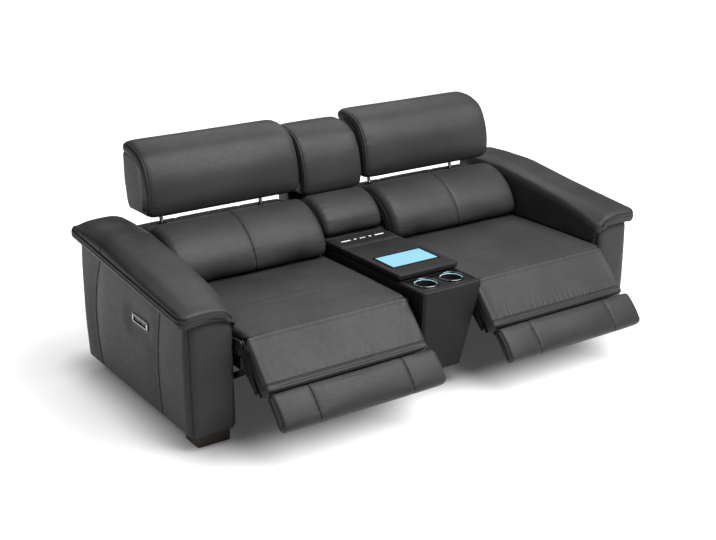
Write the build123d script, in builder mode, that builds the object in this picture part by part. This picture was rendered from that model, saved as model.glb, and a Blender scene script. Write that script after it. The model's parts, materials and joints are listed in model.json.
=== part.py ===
# Two-seat powered home theater sofa: two reclining seats with legrests, a middle console
# with a lid, a screen and two cup holders, and padded arms with switches on their outsides.
# Millimetres. +X is the viewer's right, the sofa faces -Y, +Z is up.
import os
from math import cos, radians, sin, tan

from build123d import *

os.makedirs("parts", exist_ok=True)

# Across the sofa: console, two seat bays, two arms
console_w = 300
bay_w = 743
arm_w = 192
pad_overhang = 35

# Side stack of the lift mechanism, from the bay's wall inwards
plate_t = 4
link_t = 3
run_gap = 1.2
soft_gap = 1.6

# Arms
arm_depth = 940
arm_bottom = 57
arm_wall = 26
arm_corner = 28
arm_top_out = 492
arm_top_in = 452
arm_rise = 82
arm_cavity_top = 400
pad_inner_lap = 7
pad_nose = 14
pad_tail = 12
seam_gap = 0.3

# Feet
foot_block_w = 141
foot_rear_w = 110
foot_block_d = 112
foot_inset_front = 33
foot_inset_side = 37
foot_taper = 4
foot_corner = 8
foot_shift = 4
console_foot_w = 150
console_foot_front = 188
console_foot_rear = 799

# Seat
seat_top = 434
seat_crown = 6
seat_bottom = 324
seat_front = 18
seat_rear = 560
nose_r = 36
nose_gap = 1.0
hinge_out = 24

# Seat frame and springs
rail_h = 50
rail_t = 25
rail_front = 20
rail_rear = 530
rail_side_inset = 12
spring_count = 4
spring_wire = 4
spring_amp = 22
spring_turns = 11
spring_bend = 9

# Legrest, measured along its slope (t) and square to it (n) from the hinge line
leg_slope = 48
leg_len = 211
leg_under = 25
leg_crown = 6
leg_round = 12
leg_plate_t = 6
leg_plate_start = 44
leg_plate_end = 204
bracket_tail = 180
bracket_tail_r = 9
bracket_tail_sink = 6
web_end = 184
web_w = 24
web_t = 3

# Footrest panel under the legrest
foot_gap = 11
foot_len = 140
foot_rear = 18
foot_face = 64
foot_crown = 7
foot_swell = 2.25
foot_round = 19
foot_board_t = 12
fold_t = 224
fold_n = -12
fold_barrel_r = 9
fold_rod_r = 5
fold_clear = 0.1
fold_rod_inset = 30
fold_ear_w = 20
fold_ear_root = 30
barrel_gap = 1
board_inset = 12
board_trim = 8
barrel_web_t = 10
barrel_web_off = 9

# Lift linkage: an equal crank and lever joined by push links
tube_back = 267
tube_drop = 154
lever_t = 90
lever_n = -45
tube_r = 12.5
axle_r = 8
pin_r = 5
pin_clear = 0.1
ear_r = 15
crank_hub_r = 18
crank_end_r = 12
lever_end_r = 10
plate_slot_len = 90
plate_slot_w = 34
plate_slots = ((-70, 82), (130, 74))

# Powered drives
drive_off = 120
lift_lever = 55
drive_lever_t = 8
drive_pin_len = 24
fork_cheek_t = 5
fork_side_gap = 1.2
fork_slot_clear = 1.3
fork_back = 34
fork_h = 30
fork_over = 12
fork_shift = 4
fork_corner = 5
bridge_t = 8
lift_rod_in = 90
recline_rod_in = 100
rod_r = 8
bore_clear = 0.3
lift_slot_up = 16
housing_r = 20
lift_house_front = 340
lift_house_rear = 500
recline_house_front = 300
recline_house_rear = 500
motor_r = 24
motor_len = 96
motor_drop = 26
gear_half_w = 26
gear_half_d = 24
gear_drop = 30
house_end_t = 12
lug_half_w = 10
lug_half_d = 16

# Cross tubes that carry the seat frame
cross_r = 12
cross_margin = 6
front_cross = 185
rear_cross = 480

# Back: recline axis, lean, frame tubes and upholstery
recline_y = 610
recline_z = 330
recline_travel = 32
recline_lever = 110
back_lean = 15
back_clear = 22
post_y = 858
post_z = 610
post_r = 14
post_spread = 235
post_bottom = 345
post_top = 586
bar_r = 12
upper_bar_z = 520
back_plate_t = 6
back_plate_inset = 40
lumbar_bottom = 446
lumbar_top_z = 592
cover_depth = 68
cover_wall = 14
cover_bottom = 215
cover_top = 594
cover_hole_r = 16

# Headrest
stem_r = 9
stem_clear = 0.1
stem_in = 80
stem_bottom = 382
shell_inset = 14
shell_round = 20
rear_reach = 953.85
middle_drop = 28
middle_clear = 3

# Console
console_front = 130
console_base_half = 108
console_base_front = 60
console_base_z = 100
console_bottom = 57
console_top = 458
console_split = 44
console_corner = 14
tray_half = 128
tray_front = 104
tray_rear = 28
tray_t = 6
tray_depth = 8
cup_x = 63
cup_y = 32
cup_r = 45
cup_wall = 2
cup_depth = 80
cup_clear = 0.5
cup_well = 4
ring_r = 53.5
ring_t = 5
lid_front = 28
lid_rear = 426
lid_gap = 3
lid_t = 26
lid_corner = 10
lid_edge = 6
deck_front = 436
deck_rear = 546
hinge_y = 431
hinge_up = 20
hinge_pin_r = 3
hinge_boss_r = 6
hinge_boss_w = 30
hinge_lug_w = 12
hinge_lug_off = 7
hinge_trim = 1.5
hinge_slim = 5
hinge_x = 90
bin_half = 122
bin_front = 64
bin_rear = 404
bin_depth = 205
bin_wall = 3
bin_flange = 7
bin_flange_t = 2
screen_w = 244
screen_d = 146
screen_y = 180
screen_sink = 5
screen_proud = 1
screen_clear = 0.3
screen_corner = 4
port_y = 508
port_w = 252
port_d = 26
port_t = 8
port_proud = 1
# Sockets in the strip: distance from the middle, length, width and corner
port_sockets = ((-86, 60, 9, 3), (-38, 18, 9, 2), (0, 28, 12, 3), (38, 18, 9, 2), (86, 60, 9, 3))
console_rear = 935
console_rear_top = 490

# Switch on the outer side of each arm
switch_y = 388
switch_z = 390
bezel_len = 140
bezel_h = 40
bezel_t = 3
bezel_corner = 11
window_corner = 5
window_len = 116
window_h = 22
case_wall = 2
case_depth = 20
rocker_len = 48
rocker_h = 19
rocker_t = 9
rocker_pitch = 56
rocker_pin_r = 1.5
rocker_sink = 8
rib_w = 3
rib_t = 1.2

# Rear beams and supply box
beam_front = 880
beam_t = 25
beam_bottom = 70
beam_top = 200
supply_w = 170
supply_d = 48
supply_h = 66
supply_z = 120
supply_corner = 6
inlet_w = 22
inlet_h = 15
inlet_depth = 12
inlet_corner = 4

# Derived places
lean = radians(back_lean)
slope = radians(leg_slope)
console_half = console_w / 2
arm_in = console_half + bay_w
arm_out = arm_in + arm_w
bay_mid = console_half + bay_w / 2
leg_face = nose_r
foot_start = leg_len + foot_gap
foot_end = foot_start + foot_len
foot_tip = (foot_end - foot_round) * cos(slope) + (foot_face - foot_round) * sin(slope) + foot_round
front_reach = hinge_out + foot_tip + foot_swell
arm_front = (front_reach - rear_reach) / 2
hinge_z = seat_top - nose_r
axis_y = arm_front - hinge_out
tube_y = axis_y + tube_back
tube_z = hinge_z - tube_drop
lever_dy = -lever_t * cos(slope) - lever_n * sin(slope)
lever_dz = -lever_t * sin(slope) + lever_n * cos(slope)
cushion_in = console_half + 2 * (link_t + run_gap) + plate_t + soft_gap
cushion_out = arm_in - (2 * (link_t + run_gap) + plate_t + soft_gap)
back_in = console_half + back_clear
back_out = arm_in - back_clear
lift_z = tube_z - lift_lever
recline_pin_dy = recline_lever * sin(radians(recline_travel / 2))
recline_pin_z = recline_z - recline_lever * cos(radians(recline_travel / 2))
frame_bottom = seat_bottom - rail_h
cross_z = frame_bottom - cross_r
sides = (("left", -1), ("right", 1))


def keep(built, node):
    built.part.label = node
    export_step(built.part, f"parts/{node}.step")


def span(side, inner, outer):
    # The stretch of X between two distances from the middle, on the given side
    return (inner, outer) if side > 0 else (-outer, -inner)


def post_line(z):
    # Y of the headrest stems' centre line at height z
    return arm_front + post_y + (z - post_z) * tan(lean)


def back_plane(z):
    # Y of the plane between the back cushion and the back frame
    return post_line(z) - post_r / cos(lean) - seam_gap


def leg_plane(x):
    # Legrest coordinates: local x runs down the slope, local y stands out of it
    return Plane(origin=(x, axis_y, hinge_z), x_dir=(0, -cos(slope), -sin(slope)), z_dir=(-1, 0, 0))


def stem_plane(x, z):
    # Plane square to the headrest stems, looking up along them
    return Plane(origin=(x, post_line(z), z), x_dir=(1, 0, 0), z_dir=(0, sin(lean), cos(lean)))


def plate(points, x, thickness, holes=()):
    # Flat link: the hull of round ends at (y, z), extruded along +X from x, with round holes
    with BuildSketch(Plane.YZ.offset(x)) as outline:
        for y, z, r in points:
            with Locations((y, z)):
                Circle(r)
        make_hull()
        for y, z, r in holes:
            with Locations((y, z)):
                Circle(r, mode=Mode.SUBTRACT)
    extrude(outline.sketch, amount=thickness)


def round_bar(y, z, r, x0, x1, mode=Mode.ADD):
    # Round bar along X
    with BuildSketch(Plane.YZ.offset(x0)) as end:
        with Locations((y, z)):
            Circle(r)
    extrude(end.sketch, amount=x1 - x0, mode=mode)


def block(x0, x1, y0, y1, z0, z1, mode=Mode.ADD):
    with BuildSketch(Plane.XY.offset(z0)) as base:
        with Locations(((x0 + x1) / 2, (y0 + y1) / 2)):
            Rectangle(x1 - x0, y1 - y0)
    extrude(base.sketch, amount=z1 - z0, mode=mode)


def lean_box(x0, x1, z0, z1, front, rear, mode):
    # Box that leans back with the back frame, between two distances behind the back plane
    with BuildSketch(Plane.YZ.offset(x0)) as profile:
        with BuildLine():
            Polyline(
                (back_plane(z0) + front, z0),
                (back_plane(z0) + rear, z0),
                (back_plane(z1) + rear, z1),
                (back_plane(z1) + front, z1),
                close=True,
            )
        make_face()
    extrude(profile.sketch, amount=x1 - x0, mode=mode)


# Shares of a cushion's width and the size of its section there: full in the middle,
# drawn in towards its ends
pillow_half = ((0, 0.925), (0.02, 0.95), (0.06, 0.975), (0.14, 0.99), (0.28, 0.998))
pillow_steps = (*pillow_half, (0.5, 1), *((1 - share, size) for share, size in reversed(pillow_half)))


def pillow(x0, x1, anchor_y, anchor_z, outline):
    # Loft of one YZ outline along X; the outline is drawn about the anchor and scaled from it
    sections = []
    for share, size in pillow_steps:
        place = Plane(origin=(x0 + (x1 - x0) * share, anchor_y, anchor_z), x_dir=(0, 1, 0), z_dir=(1, 0, 0))
        with BuildSketch(place) as section:
            with BuildLine():
                outline(lambda y, z: ((arm_front + y - anchor_y) * size, (z - anchor_z) * size))
            make_face()
        sections.append(section.sketch)
    loft(sections)


# Arms


def arm_top_plane(side, lift=0):
    # Sloping plane under the arm pad: it rises to the rear and to the outside
    return Plane(
        origin=(side * arm_in, arm_front, arm_top_in + lift),
        z_dir=(-side * (arm_top_out - arm_top_in) * arm_depth, -arm_w * arm_rise, arm_w * arm_depth),
    )


# Pad stations from rear to front: distance from the arm's front, heights of the outer
# edge, the crest and the inner edge, and how far the end is drawn in
pad_stations = (
    (arm_depth + pad_tail, 592, 620, 600, 14),
    (arm_depth + 2, 606, 638, 619, 6),
    (arm_depth - 30, 613, 647, 628, 2),
    (arm_depth - 120, 617, 650, 631, 0),
    (650, 617, 647, 629, 0),
    (400, 582, 613, 600, 0),
    (200, 558, 587, 568, 0),
    (80, 543, 566, 535, 0),
    (20, 534, 551, 511, 2),
    (-4, 528, 540, 500, 6),
    (-pad_nose, 519, 527, 490, 13),
)
pad_crest = 95
pad_shoulder = 200


def arm_pad_section(side, y, z_out, z_crest, z_in, draw):
    def at(u, z):
        return (side * (arm_in + u), z)

    rise = arm_rise * y / arm_depth
    slant = (arm_top_out - arm_top_in) / arm_w
    edge = arm_w + pad_overhang - draw
    inner = draw - pad_inner_lap
    base = arm_top_in + rise + seam_gap
    with BuildSketch(Plane(origin=(0, arm_front + y, 0), x_dir=(1, 0, 0), z_dir=(0, -1, 0))) as section:
        with BuildLine():
            low_z = base + slant * (edge - 6)
            low_out = at(edge - 6, low_z)
            low_in = at(inner + 1, base + slant * (inner + 1))
            top_out = at(pad_shoulder - draw, z_out + 16)
            top_in = at(inner + 16, z_in + 4)
            Line(low_in, low_out)
            ThreePointArc(low_out, at(edge, low_z + 0.45 * (z_out + 16 - low_z)), top_out)
            ThreePointArc(top_out, at(pad_crest, z_crest), top_in)
            ThreePointArc(top_in, at(inner + 3, z_in - 10), at(inner, z_in - 24))
            Line(at(inner, z_in - 24), low_in)
        make_face()
    return section.sketch


for name, side in sides:
    x0, x1 = span(side, arm_in, arm_out)
    y0, y1 = arm_front, arm_front + arm_depth
    slot_x = side * arm_out

    # Padded outer shell of the arm, open below, with a pocket for the switch
    with BuildPart() as arm_cover:
        block(x0, x1, y0, y1, arm_bottom, arm_top_out + arm_rise + arm_wall)
        fillet(arm_cover.edges().filter_by(Axis.Z), arm_corner)
        split(bisect_by=arm_top_plane(side), keep=Keep.BOTTOM)
        block(
            x0 + arm_wall, x1 - arm_wall, y0 + arm_wall, y1 - arm_wall,
            arm_bottom, arm_cavity_top, Mode.SUBTRACT,
        )
        with BuildSketch(Plane.YZ.offset(slot_x)):
            with Locations((arm_front + switch_y, switch_z)):
                RectangleRounded(window_len + 2 * case_wall, window_h + 2 * case_wall, window_corner + case_wall)
        extrude(amount=-side * arm_wall, mode=Mode.SUBTRACT)
    keep(arm_cover, f"{name}_arm_cover")

    with BuildPart() as arm_pad:
        loft([arm_pad_section(side, *station) for station in pad_stations], ruled=True)
    keep(arm_pad, f"{name}_arm_pad")

# Timber frame inside each arm: two posts and two rails that fill the shell
post_d = 70
rail_arm_h = 60
with BuildPart() as arm_frames:
    for name, side in sides:
        x0, x1 = span(side, arm_in + arm_wall, arm_out - arm_wall)
        front, rear = arm_front + arm_wall, arm_front + arm_depth - arm_wall
        block(x0, x1, front, front + post_d, arm_bottom, arm_cavity_top)
        block(x0, x1, rear - post_d, rear, arm_bottom, arm_cavity_top)
        block(x0, x1, front + post_d, rear - post_d, arm_bottom, arm_bottom + rail_arm_h)
keep(arm_frames, "arm_frames")

# Switches: framed bezels with cases sunk in the arms, and two rockers turning on pins in each
with BuildPart() as switch_plates:
    for name, side in sides:
        face_x = side * arm_out
        cy = arm_front + switch_y
        with BuildSketch(Plane.YZ.offset(face_x)):
            with Locations((cy, switch_z)):
                RectangleRounded(bezel_len, bezel_h, bezel_corner)
                RectangleRounded(window_len, window_h, window_corner, mode=Mode.SUBTRACT)
        extrude(amount=side * bezel_t)
        fillet(switch_plates.faces().sort_by(Axis.X)[-1 if side > 0 else 0].edges(), bezel_t / 3)
        with BuildSketch(Plane.YZ.offset(face_x)):
            with Locations((cy, switch_z)):
                RectangleRounded(window_len + 2 * case_wall, window_h + 2 * case_wall, window_corner + case_wall)
        extrude(amount=-side * case_depth)
        with BuildSketch(Plane.YZ.offset(face_x)):
            with Locations((cy, switch_z)):
                RectangleRounded(window_len, window_h, window_corner)
        extrude(amount=-side * (case_depth - case_wall), mode=Mode.SUBTRACT)
        for step in (-0.5, 0.5):
            with BuildSketch(Plane.XY.offset(switch_z - bezel_h / 2)):
                with Locations((face_x - side * rocker_sink, cy + step * rocker_pitch)):
                    Circle(rocker_pin_r + pin_clear / 2)
            extrude(amount=bezel_h / 2 + window_h / 2 + case_wall, mode=Mode.SUBTRACT)
keep(switch_plates, "switch_plates")

for name, side in sides:
    pivot_x = side * (arm_out - rocker_sink)
    cy = arm_front + switch_y
    for use, step in (("legrest", -0.5), ("recline", 0.5)):
        ry = cy + step * rocker_pitch
        rx0, rx1 = sorted((pivot_x - side * rocker_t / 3, pivot_x + side * rocker_t * 2 / 3))
        with BuildPart() as rocker:
            block(
                rx0, rx1, ry - rocker_len / 2, ry + rocker_len / 2,
                switch_z - rocker_h / 2, switch_z + rocker_h / 2,
            )
            fillet(rocker.edges().filter_by(Axis.X), rocker_h / 6)
            with BuildSketch(Plane.YZ.offset(rx1 if side > 0 else rx0)):
                with GridLocations(rocker_len / 4, 0, 3, 1):
                    with Locations((ry, switch_z)):
                        Rectangle(rib_w, rocker_h * 0.7)
            extrude(amount=side * rib_t)
            with BuildSketch(Plane.XY.offset(switch_z - window_h / 2 - case_wall / 2)):
                with Locations((pivot_x, ry)):
                    Circle(rocker_pin_r)
            extrude(amount=window_h + case_wall)
        keep(rocker, f"{name}_{use}_rocker")

# Feet: dark blocks under the arms' ends and two under the console, slightly narrower below
with BuildPart() as feet:
    spots = [
        (side * (arm_in + foot_inset_side / 2 - foot_shift + w / 2), arm_front + y, w)
        for name, side in sides
        for y, w in (
            (foot_inset_front + foot_block_d / 2, foot_block_w),
            (arm_depth - foot_inset_front - foot_block_d / 2, foot_rear_w),
        )
    ]
    spots += [(0, arm_front + y, console_foot_w) for y in (console_foot_front, console_foot_rear)]
    for x, y, w in spots:
        for z, trim in ((0, foot_taper), (arm_bottom, 0)):
            with BuildSketch(Plane.XY.offset(z)):
                with Locations((x, y)):
                    RectangleRounded(w - 2 * trim, foot_block_d - 2 * trim, foot_corner)
        loft()
keep(feet, "feet")

# Fixed steel base of each seat: side plates against the arm and the console, cross tubes,
# with bearings for the legrest, the lift tube and the back
with BuildPart() as mechanism_base:
    for name, side in sides:
        for inner, outer in ((console_half, console_half + plate_t), (arm_in - plate_t, arm_in)):
            x0, x1 = span(side, inner, outer)
            with BuildSketch(Plane.YZ.offset(x0)):
                for y, z, r in (
                    (axis_y, hinge_z, ear_r),
                    (tube_y, tube_z, crank_hub_r * 1.5),
                    (arm_front + recline_y, recline_z, crank_hub_r),
                    (arm_front + front_cross, cross_z, cross_r + cross_margin),
                    (arm_front + rear_cross, cross_z, cross_r + cross_margin),
                ):
                    with Locations((y, z)):
                        Circle(r)
                make_hull()
                for y, z in ((axis_y, hinge_z), (tube_y, tube_z), (arm_front + recline_y, recline_z)):
                    with Locations((y, z)):
                        Circle(axle_r + pin_clear, mode=Mode.SUBTRACT)
                with Locations(*((tube_y + dy, tube_z + dz) for dy, dz in plate_slots)):
                    SlotOverall(plate_slot_len, plate_slot_w, mode=Mode.SUBTRACT)
            extrude(amount=x1 - x0)
        x0, x1 = span(side, console_half + plate_t + seam_gap, arm_in - plate_t - seam_gap)
        for y in (front_cross, rear_cross):
            round_bar(arm_front + y, cross_z, cross_r, x0, x1)
keep(mechanism_base, "mechanism_base")

# Seat frames: four timber rails per seat, standing on the cross tubes
with BuildPart() as seat_frames:
    for name, side in sides:
        x0, x1 = span(side, cushion_in + rail_side_inset, cushion_out - rail_side_inset)
        front, rear = arm_front + rail_front, arm_front + rail_rear
        for bx0, bx1, by0, by1 in (
            (x0, x1, front, front + rail_t),
            (x0, x1, rear - rail_t, rear),
            (x0, x0 + rail_t, front + rail_t + seam_gap, rear - rail_t - seam_gap),
            (x1 - rail_t, x1, front + rail_t + seam_gap, rear - rail_t - seam_gap),
        ):
            block(bx0, bx1, by0, by1, frame_bottom, seat_bottom)
keep(seat_frames, "seat_frames")

# Zigzag springs stretched from the front rail to the rear rail
with BuildPart() as seat_springs:
    front = arm_front + rail_front + rail_t
    rear = arm_front + rail_rear - rail_t
    spring_z = seat_bottom - spring_wire
    pitch = (rear - front) / (spring_turns + 1)
    spring_pitch = (cushion_out - cushion_in) / (spring_count + 1)
    for name, side in sides:
        for row in range(spring_count):
            x = side * (bay_mid + (row - (spring_count - 1) / 2) * spring_pitch)
            path = [(x, front, spring_z)]
            for turn in range(spring_turns):
                y = front + pitch * (turn + 0.5)
                sway = spring_amp if turn % 2 == 0 else -spring_amp
                path += [(x - sway if turn else x, y, spring_z), (x + sway, y, spring_z)]
            last = rear - pitch * 0.75
            path += [(x, last + pitch * 0.25, spring_z), (x, rear, spring_z)]
            with BuildLine() as wire:
                FilletPolyline(*path, radius=spring_bend)
            with BuildSketch(Plane(origin=path[0], z_dir=(0, 1, 0))):
                Circle(spring_wire / 2)
            sweep(path=wire.wire())
keep(seat_springs, "seat_springs")


def seat_outline(at):
    # Side view: flat below, crowned top and a rolled front edge about the legrest hinge
    hy = -hinge_out
    low = nose_r * cos(radians(45))
    foot = at(hy - low, hinge_z - low)
    tip = at(hy - nose_r * cos(radians(22)), hinge_z + nose_r * sin(radians(22)))
    top = at(hy, seat_top)
    front_low = at(seat_front, seat_bottom)
    front_high = at(seat_front, hinge_z - nose_r / 4)
    rear_low = at(seat_rear, seat_bottom)
    rear_high = at(seat_rear, seat_top - seat_crown)
    crown = at((seat_rear + hy) / 2, seat_top + seat_crown)
    Polyline(rear_low, front_low, front_high, foot)
    ThreePointArc(foot, tip, top)
    ThreePointArc(top, crown, rear_high)
    Line(rear_high, rear_low)


def leg_section(x, size):
    # Legrest pad across the slope: flat back, crowned face
    end = leg_len * size
    with BuildSketch(leg_plane(x)) as section:
        with BuildLine():
            Polyline((0, leg_face * size), (0, -leg_under), (end, -leg_under), (end, leg_face * size))
            crown = (end / 2, (leg_face + leg_crown) * size)
            ThreePointArc((end, leg_face * size), crown, (0, leg_face * size))
        make_face()
        fillet(section.vertices().sort_by(Axis.X)[-2:], leg_round)
    return section.sketch


def foot_section(x, size):
    # Footrest panel across the slope: flat back, bulged front, round edges
    middle = (foot_start + foot_end) / 2
    low, high = middle - foot_len / 2 * size, middle + foot_len / 2 * size
    face = foot_rear + (foot_face - foot_rear) * size
    with BuildSketch(leg_plane(x)) as section:
        with BuildLine():
            Polyline((low, face), (low, foot_rear), (high, foot_rear), (high, face))
            ThreePointArc((high, face), (middle, face + foot_crown), (low, face))
        make_face()
        fillet(section.vertices().sort_by(Axis.Y)[-2:], foot_round)
    return section.sketch


for name, side in sides:
    x0, x1 = span(side, cushion_in, cushion_out)
    inner_x0, inner_x1 = span(side, console_half, arm_in)

    # Seat cushion
    with BuildPart() as seat_cushion:
        pillow(x0, x1, arm_front + (seat_front + seat_rear) / 2, seat_bottom, seat_outline)
    keep(seat_cushion, f"{name}_seat_cushion")

    # Legrest pad, hollowed at its top to clear the seat's rolled front
    with BuildPart() as legrest_pad:
        loft([leg_section(x0 + (x1 - x0) * share, size) for share, size in pillow_steps])
        round_bar(axis_y, hinge_z, nose_r + nose_gap, x0 - 1, x1 + 1, Mode.SUBTRACT)
    keep(legrest_pad, f"{name}_legrest_pad")

    # Footrest pad
    with BuildPart() as footrest_pad:
        loft([foot_section(x0 + (x1 - x0) * share, size) for share, size in pillow_steps])
    keep(footrest_pad, f"{name}_footrest_pad")

    # Planes of the side stack, from the bay's walls inwards
    low_link = inner_x0 + plate_t + run_gap
    low_arm = low_link + link_t + run_gap
    high_link = inner_x1 - plate_t - run_gap - link_t
    high_arm = high_link - run_gap - link_t
    low_pin = inner_x0 + plate_t
    high_pin = inner_x1 - plate_t
    pin_y, pin_z = axis_y + lever_dy, hinge_z + lever_dz
    crank_y, crank_z = tube_y + lever_dy, tube_z + lever_dz

    # Steel carrier of the legrest: plate under the pad, side brackets with the hinge axles
    # and the lever pins, and ears that hold the footrest's hinge rod
    with BuildPart() as legrest_frame:
        plate_n = -leg_under - seam_gap - leg_plate_t
        with BuildSketch(leg_plane(x1 - 1)):
            with Locations(((leg_plate_start + leg_plate_end) / 2, plate_n + leg_plate_t / 2)):
                Rectangle(leg_plate_end - leg_plate_start, leg_plate_t)
        extrude(amount=x1 - x0 - 2)
        for arm_x, link_x, wall_x, web0, web1 in (
            (low_arm, low_link, inner_x0, low_arm, x0 + web_w),
            (high_arm, high_link + link_t, inner_x1, x1 - web_w, high_arm + link_t),
        ):
            tail_n = plate_n - bracket_tail_sink
            tail_y = axis_y - bracket_tail * cos(slope) - tail_n * sin(slope)
            tail_z = hinge_z - bracket_tail * sin(slope) + tail_n * cos(slope)
            ends = [(axis_y, hinge_z, ear_r), (pin_y, pin_z, crank_end_r), (tail_y, tail_z, bracket_tail_r)]
            plate(ends, arm_x, link_t)
            with BuildSketch(leg_plane(web1)):
                with Locations(((leg_plate_start + web_end) / 2, plate_n - web_t / 2)):
                    Rectangle(web_end - leg_plate_start, web_t)
            extrude(amount=web1 - web0)
            round_bar(axis_y, hinge_z, axle_r, *sorted((arm_x + link_t / 2, wall_x)))
            outer_face = low_pin + run_gap / 3 if link_x < arm_x else high_pin - run_gap / 3
            round_bar(pin_y, pin_z, pin_r, *sorted((arm_x + link_t / 2, outer_face)))
        rod_y = axis_y - fold_t * cos(slope) - fold_n * sin(slope)
        rod_z = hinge_z - fold_t * sin(slope) + fold_n * cos(slope)
        rod0, rod1 = x0 + fold_rod_inset, x1 - fold_rod_inset
        round_bar(rod_y, rod_z, fold_rod_r, rod0, rod1)
        for ear_x in (rod0, (x0 + x1 - fold_ear_w) / 2, rod1 - fold_ear_w):
            with BuildSketch(leg_plane(ear_x + fold_ear_w)):
                with BuildLine():
                    Polyline(
                        (leg_plate_end - fold_ear_root, plate_n),
                        (leg_plate_end - fold_ear_root, plate_n + leg_plate_t),
                        (leg_len + 2, plate_n + leg_plate_t),
                        (fold_t - 5, fold_n + fold_rod_r),
                        (fold_t + 6, fold_n + fold_rod_r),
                        (fold_t + 6, fold_n - fold_rod_r),
                        (leg_plate_end, plate_n),
                        close=True,
                    )
                make_face()
            extrude(amount=fold_ear_w)
    keep(legrest_frame, f"{name}_legrest_frame")

    # Footrest board with the barrels that turn on the hinge rod
    with BuildPart() as footrest_board:
        with BuildSketch(leg_plane(x1 - board_inset)):
            with Locations(((foot_start + foot_end) / 2, foot_rear - foot_board_t / 2 - seam_gap)):
                Rectangle(foot_len - 2 * board_trim, foot_board_t)
        extrude(amount=x1 - x0 - 2 * board_inset)
        first = fold_rod_inset + fold_ear_w + barrel_gap
        last = fold_ear_w / 2 + barrel_gap
        barrel = (x1 - x0) / 2 - first - last
        for bx0 in (x0 + first, (x0 + x1) / 2 + last):
            with BuildSketch(leg_plane(bx0 + barrel)):
                with Locations((fold_t, fold_n)):
                    Circle(fold_barrel_r)
                with Locations((fold_t + barrel_web_off, (fold_n + foot_rear - foot_board_t) / 2)):
                    Rectangle(barrel_web_t, foot_rear - foot_board_t - fold_n)
                with Locations((fold_t, fold_n)):
                    Circle(fold_rod_r + fold_clear, mode=Mode.SUBTRACT)
            extrude(amount=barrel)
    keep(footrest_board, f"{name}_footrest_board")

    # Lift tube with a crank at each end and the drive lever
    drive_x = side * bay_mid - drive_off
    with BuildPart() as torque_tube:
        round_bar(tube_y, tube_z, tube_r, low_arm, high_arm + link_t)
        round_bar(tube_y, tube_z, axle_r, inner_x0, inner_x1)
        for arm_x, face in ((low_arm, low_pin + run_gap / 3), (high_arm, high_pin - run_gap / 3)):
            plate([(tube_y, tube_z, crank_hub_r), (crank_y, crank_z, crank_end_r)], arm_x, link_t)
            round_bar(crank_y, crank_z, pin_r, *sorted((arm_x + link_t / 2, face)))
        plate(
            [(tube_y, tube_z, crank_hub_r), (tube_y, lift_z, lever_end_r)],
            drive_x - drive_lever_t / 2,
            drive_lever_t,
        )
        round_bar(tube_y, lift_z, pin_r, drive_x - drive_pin_len / 2, drive_x + drive_pin_len / 2)
    keep(torque_tube, f"{name}_torque_tube")

    # Push links from the cranks to the legrest's lever pins
    hole = pin_r + pin_clear
    with BuildPart() as push_links:
        for link_x in (low_link, high_link):
            plate(
                [(crank_y, crank_z, crank_end_r), (pin_y, pin_z, crank_end_r)],
                link_x,
                link_t,
                [(crank_y, crank_z, hole), (pin_y, pin_z, hole)],
            )
    keep(push_links, f"{name}_push_links")

    # Lift rod: it slides in its drive and pushes the lever through a slotted fork
    cheek = drive_lever_t / 2 + fork_side_gap
    slot_w = 2 * (pin_r + fork_slot_clear)
    slot_h = slot_w + lift_slot_up
    with BuildPart() as lift_rod:
        for cx in (drive_x - cheek - fork_cheek_t, drive_x + cheek):
            with BuildSketch(Plane.YZ.offset(cx)):
                with Locations((tube_y + fork_back / 2 - fork_shift, lift_z + lift_slot_up / 2)):
                    RectangleRounded(fork_back + 2 * fork_over, fork_h + lift_slot_up, fork_corner)
                with Locations((tube_y, lift_z + lift_slot_up / 2)):
                    SlotOverall(slot_h, slot_w, rotation=90, mode=Mode.SUBTRACT)
            extrude(amount=fork_cheek_t)
        bridge = tube_y + fork_back
        block(
            drive_x - cheek - fork_cheek_t,
            drive_x + cheek + fork_cheek_t,
            bridge,
            bridge + bridge_t,
            lift_z - fork_h / 2,
            lift_z + fork_h / 2,
        )
        with BuildSketch(Plane(origin=(drive_x, bridge, lift_z), z_dir=(0, 1, 0))):
            Circle(rod_r)
        extrude(amount=arm_front + lift_house_front + lift_rod_in - bridge)
    keep(lift_rod, f"{name}_lift_rod")

    # Recline rod: the same fork the other way round, on the back frame's lever
    recline_x = side * bay_mid + drive_off
    pin_at_y = arm_front + recline_y + recline_pin_dy
    slot_low = recline_lever - (recline_z - recline_pin_z)
    with BuildPart() as recline_rod:
        for cx in (recline_x - cheek - fork_cheek_t, recline_x + cheek):
            with BuildSketch(Plane.YZ.offset(cx)):
                with Locations((pin_at_y - fork_back / 2 + fork_shift, recline_pin_z)):
                    RectangleRounded(fork_back + 2 * fork_over, fork_h + 2, fork_corner)
                with Locations((pin_at_y, recline_pin_z - slot_low / 2)):
                    SlotOverall(slot_w + slot_low, slot_w, rotation=90, mode=Mode.SUBTRACT)
            extrude(amount=fork_cheek_t)
        bridge = pin_at_y - fork_back
        block(
            recline_x - cheek - fork_cheek_t,
            recline_x + cheek + fork_cheek_t,
            bridge - bridge_t,
            bridge,
            recline_pin_z - fork_h / 2,
            recline_pin_z + fork_h / 2,
        )
        with BuildSketch(Plane(origin=(recline_x, bridge, recline_pin_z), z_dir=(0, -1, 0))):
            Circle(rod_r)
        extrude(amount=bridge - (arm_front + recline_house_rear - recline_rod_in))
    keep(recline_rod, f"{name}_recline_rod")

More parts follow.
